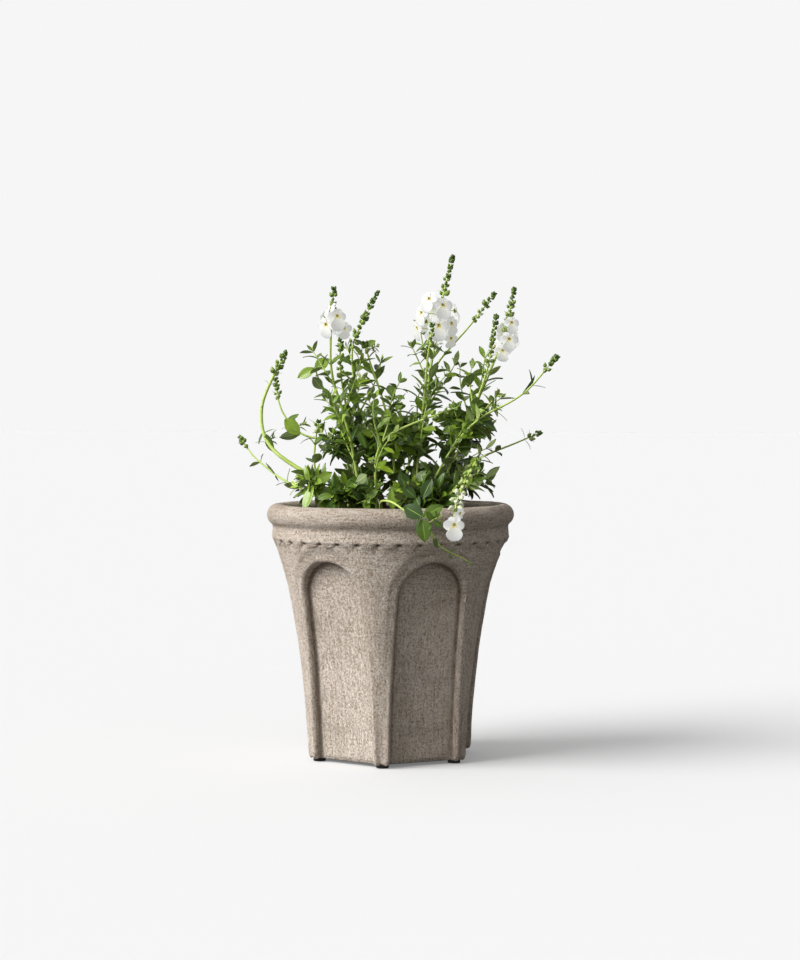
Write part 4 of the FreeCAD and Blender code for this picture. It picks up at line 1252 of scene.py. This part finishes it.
def makeSpike(name, dice):
    # opposite buds, wide apart below and crowded at the tip
    reach, extra, pairs = spikeValues[name]
    line = middleLines[name]
    end, heading = Vector(line[-1]), Vector(line[-1] - line[-2]).normalized()
    tip = end + heading * extra * mm
    made = []
    tube, _ = drawTube("axis", [end - heading * mm, (end + tip) / 2, tip], routes[name][0] * 0.55 * mm,
                       tip=0.5, sides=1, fineness=3)
    made.append(tube)
    whole = np.linalg.norm(np.diff(line, axis=0), axis=1).sum()
    turn = dice.uniform(0, 3)
    for index in range(pairs):
        part = (index + 0.5) / pairs
        travel = -reach + (reach + extra) * (1 - (1 - part) ** 1.9)
        if travel < 0:
            point, way = alongLine(line, 1 + travel * mm / whole)
        else:
            point, way = end + heading * travel * mm, heading
        length = (7.0 - 2.7 * part) * dice.uniform(0.75, 1.25) * mm
        out = (1.6 * (1 - part) + 0.2) * mm
        for half in (0, math.pi):
            side = across(way, turn + half)
            foot = point + side * (0.5 * mm + out * dice.uniform(0.2, 1.4))
            foot += way * dice.uniform(-1.4, 1.4) * mm
            along = side * dice.uniform(0.3, 1.1) + way
            size, width = length * dice.uniform(0.7, 1.15), dice.uniform(0.9, 1.4)
            made.append(place("bud", foot, along, side, size, width, 0.0,
                              dice.uniform(0.10, 0.30) + 0.36 * (1 - part)))
            if part < 0.5:   # small leaves under the lower buds
                made.append(place("thin", point, side + way, way, length * 1.25, 2.0, 0.4, 0.45))
        turn += math.pi / 2 + dice.uniform(-0.5, 0.5)
    made.append(place("bud", tip - heading * 1.6 * mm, heading, (1, 0, 0), 3.4 * mm, 0.9, 0.0, 0.4))
    return made


droopBuds = {"pairs": 20, "from": 0.50, "reach": 0.44, "length": (4.2, 8.8)}


def makeDroopBuds(dice):
    # pale opening buds down the hanging stem
    values = droopBuds
    made = []
    turn = 0.4
    for index in range(values["pairs"]):
        ripe = index / (values["pairs"] - 1)
        point, way = alongLine(middleLines["droop"], values["from"] + values["reach"] * ripe)
        small, large = values["length"]
        for half in (0, math.pi):
            side = across(way, turn + half)
            length = (small + (large - small) * ripe) * dice.uniform(0.8, 1.1) * mm
            foot = point + side * (0.8 + 2.0 * ripe) * mm
            tone = min(0.86, 0.42 + 0.5 * ripe + dice.uniform(-0.08, 0.08))
            made.append(place("bud", foot, side + way * 0.7, side, length, 0.95, 0.0, tone))
            made.append(place("bud", point, side + way * 0.3, side, length * 0.55, 0.9, 0.0, 0.4))
        turn += 1.9
    return made


dice = random.Random(5)
members = []
for name in spikeValues:
    members += makeSpike(name, dice)
members += makeDroopBuds(dice)
spikes = joinPieces("budSpikes", members)
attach(spikes, "planting")
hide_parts("bud_spikes")
print("bud spikes made")


# ---- soil

soilValues = {
    "rings": 26, "rough": 2.2 * mm, "edge": 6 * mm, "clear": 0.5 * mm, "wallFrom": 60 * mm,
    "chips": 420, "chip": (2.5, 7.0), "sunk": 0.4 * mm,
}


def makeSoilBall():
    # the mix, standing off the grow pot's wall by a hair, with a crumbled top
    low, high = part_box("potting_mix")
    top = high.x
    profile = sorted({(round(point.co.z, 4), round(math.hypot(point.co.x, point.co.y), 4))
                      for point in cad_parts["potting_mix"].data.vertices
                      if math.hypot(point.co.x, point.co.y) > soilValues["wallFrom"]})
    bpy.ops.mesh.primitive_cylinder_add(vertices=96, radius=top - soilValues["clear"], depth=high.z - low.z,
                                        location=(low + high) / 2, end_fill_type="NGON")
    ball = bpy.context.object
    settle(ball)
    # the side is cut at each level of the grow pot's flare and drawn in to follow it
    for level, _ in profile[1:-1]:
        editPart(ball, lambda point: True)
        bpy.ops.mesh.bisect(plane_co=(0, 0, level), plane_no=(0, 0, 1))
        leaveEdit()
    points = meshPoints(ball).astype(float)
    flare = np.interp(points[:, 2], *zip(*profile)) - soilValues["clear"]
    points[:, :2] *= (flare / np.hypot(points[:, 0], points[:, 1]))[:, None]
    setPoints(ball, points)
    editPart(ball, lambda face: face.normal.z > 0.9, "FACE")
    for _ in range(soilValues["rings"]):
        bpy.ops.mesh.inset(thickness=(top - 4 * mm) / soilValues["rings"] * 0.97, depth=0)
    leaveEdit()
    points = meshPoints(ball).astype(float)
    radius = np.hypot(points[:, 0], points[:, 1])
    surface = points[:, 2] > high.z - 0.1 * mm
    lumps = np.array([noise.noise(Vector(point) * 120) + 0.6 * noise.noise(Vector(point) * 330)
                      for point in points])
    inner = np.clip((top - radius) / soilValues["edge"], 0, 1)
    points[:, 2] += surface * inner * (lumps - 0.6) * soilValues["rough"]
    setPoints(ball, points)
    addTone(ball, 0.1)
    return ball, top, high.z


def makeChips(top, level, dice):
    # bits of bark strewn over the mix
    bpy.ops.mesh.primitive_ico_sphere_add(subdivisions=1, radius=0.5, calc_uvs=True)
    chip = bpy.context.object
    chip.name = "chipPattern"
    editPart(chip, lambda point: point.co.z > 0.1)
    bpy.ops.transform.resize(value=(0.8, 1.2, 0.7), center_override=(0, 0, 0))
    leaveEdit()
    addTone(chip)
    shape = meshPoints(chip).astype(float)
    made = []
    for _ in range(soilValues["chips"]):
        far = math.sqrt(dice.random()) * (top - soilValues["edge"])
        angle = dice.uniform(0, 2 * math.pi)
        size = dice.uniform(*soilValues["chip"]) * mm
        turned = Matrix.Rotation(dice.uniform(0, 6), 3, "Z")
        turned = turned @ Matrix.Rotation(dice.uniform(-0.5, 0.5), 3, "X")
        stretch = np.array([size, size * dice.uniform(0.5, 1.0), size * dice.uniform(0.25, 0.55)])
        spot = np.array([far * math.cos(angle), far * math.sin(angle), level - soilValues["sunk"]])
        jitter = np.array([[dice.uniform(0.8, 1.2) for _ in range(3)] for _ in shape])
        bit = copyPiece(chip)
        setPoints(bit, (shape * jitter * stretch) @ np.array(turned).T + spot)
        bit.data.attributes["tone"].data.foreach_set("value", [dice.uniform(0.05, 0.75)] * len(shape))
        made.append(bit)
    bpy.data.objects.remove(chip)
    return made


ball, top, level = makeSoilBall()
mix = joinPieces("pottingSoilBall", [*makeChips(top, level, random.Random(11)), ball])
dress(mix, soil)
smooth(mix, 50)
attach(mix, "planting")
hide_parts("potting_mix")
for pattern in patterns.values():
    bpy.data.objects.remove(pattern)
print("soil made")


# ---- floor, light and backdrop

lightValues = {
    "sunStrength": 3.75, "sunSoftness": 44, "sunFrom": (-0.80, -0.44, 0.62),
    "skyLight": 0.62, "skyLean": 0.38, "backdrop": 0.922, "floor": 0.65, "lift": 0.168, "bounce": 0.16,
}


def makeStudio():
    values = lightValues
    bpy.ops.mesh.primitive_plane_add(size=60, location=(0, 0, 0))
    floor = bpy.context.object
    floor.name = "studioFloor"
    # the floor throws little light back up, as a small sweep in a large dark room
    material, tree, shader = newMaterial("studioFloor", Roughness=1.0, Specular_IOR_Level=0.0,
                                         Emission_Color=(1, 1, 1, 1))
    seen = addNode(tree, "ShaderNodeLightPath", (-500, 0)).outputs["Is Camera Ray"]
    dim, bright = ((values[key],) * 3 + (1,) for key in ("bounce", "floor"))
    setNode(tree, shader, Base_Color=mixColours(tree, (-240, 0), seen, dim, bright),
            Emission_Strength=reckon(tree, (-240, -240), "MULTIPLY", seen, values["lift"]))
    dress(floor, material)
    bpy.ops.object.light_add(type="SUN")
    sun = bpy.context.object
    sun.data.energy = values["sunStrength"]
    sun.data.angle = math.radians(values["sunSoftness"])
    sun.rotation_euler = Vector(values["sunFrom"]).to_track_quat("Z", "Y").to_euler()
    # sky light, brighter on the sun's side
    world = bpy.data.worlds.new("studio")
    bpy.context.scene.world = world
    world.use_nodes = True
    tree = world.node_tree
    backdrop = setNode(tree, tree.nodes["Background"], Color=(values["backdrop"],) * 3 + (1,))
    way = addNode(tree, "ShaderNodeTexCoord", (-600, 200)).outputs["Generated"]
    side = addNode(tree, "ShaderNodeSeparateXYZ", (-400, 200), Vector=way).outputs["X"]
    level = rescale(tree, (-200, 200), side, -1.0, 1.0, values["skyLight"] + values["skyLean"],
                    values["skyLight"] - values["skyLean"], "LINEAR")
    glow = addNode(tree, "ShaderNodeBackground", (0, 200), Strength=level)
    mix = addNode(tree, "ShaderNodeMixShader", (200, 200),
                  Fac=addNode(tree, "ShaderNodeLightPath", (0, 400)).outputs["Is Camera Ray"])
    for index, light in ((1, glow), (2, backdrop)):
        fill(tree, mix.inputs[index], light.outputs["Background"])
    setNode(tree, tree.nodes["World Output"], Surface=mix.outputs["Shader"])


makeStudio()
print("studio made")
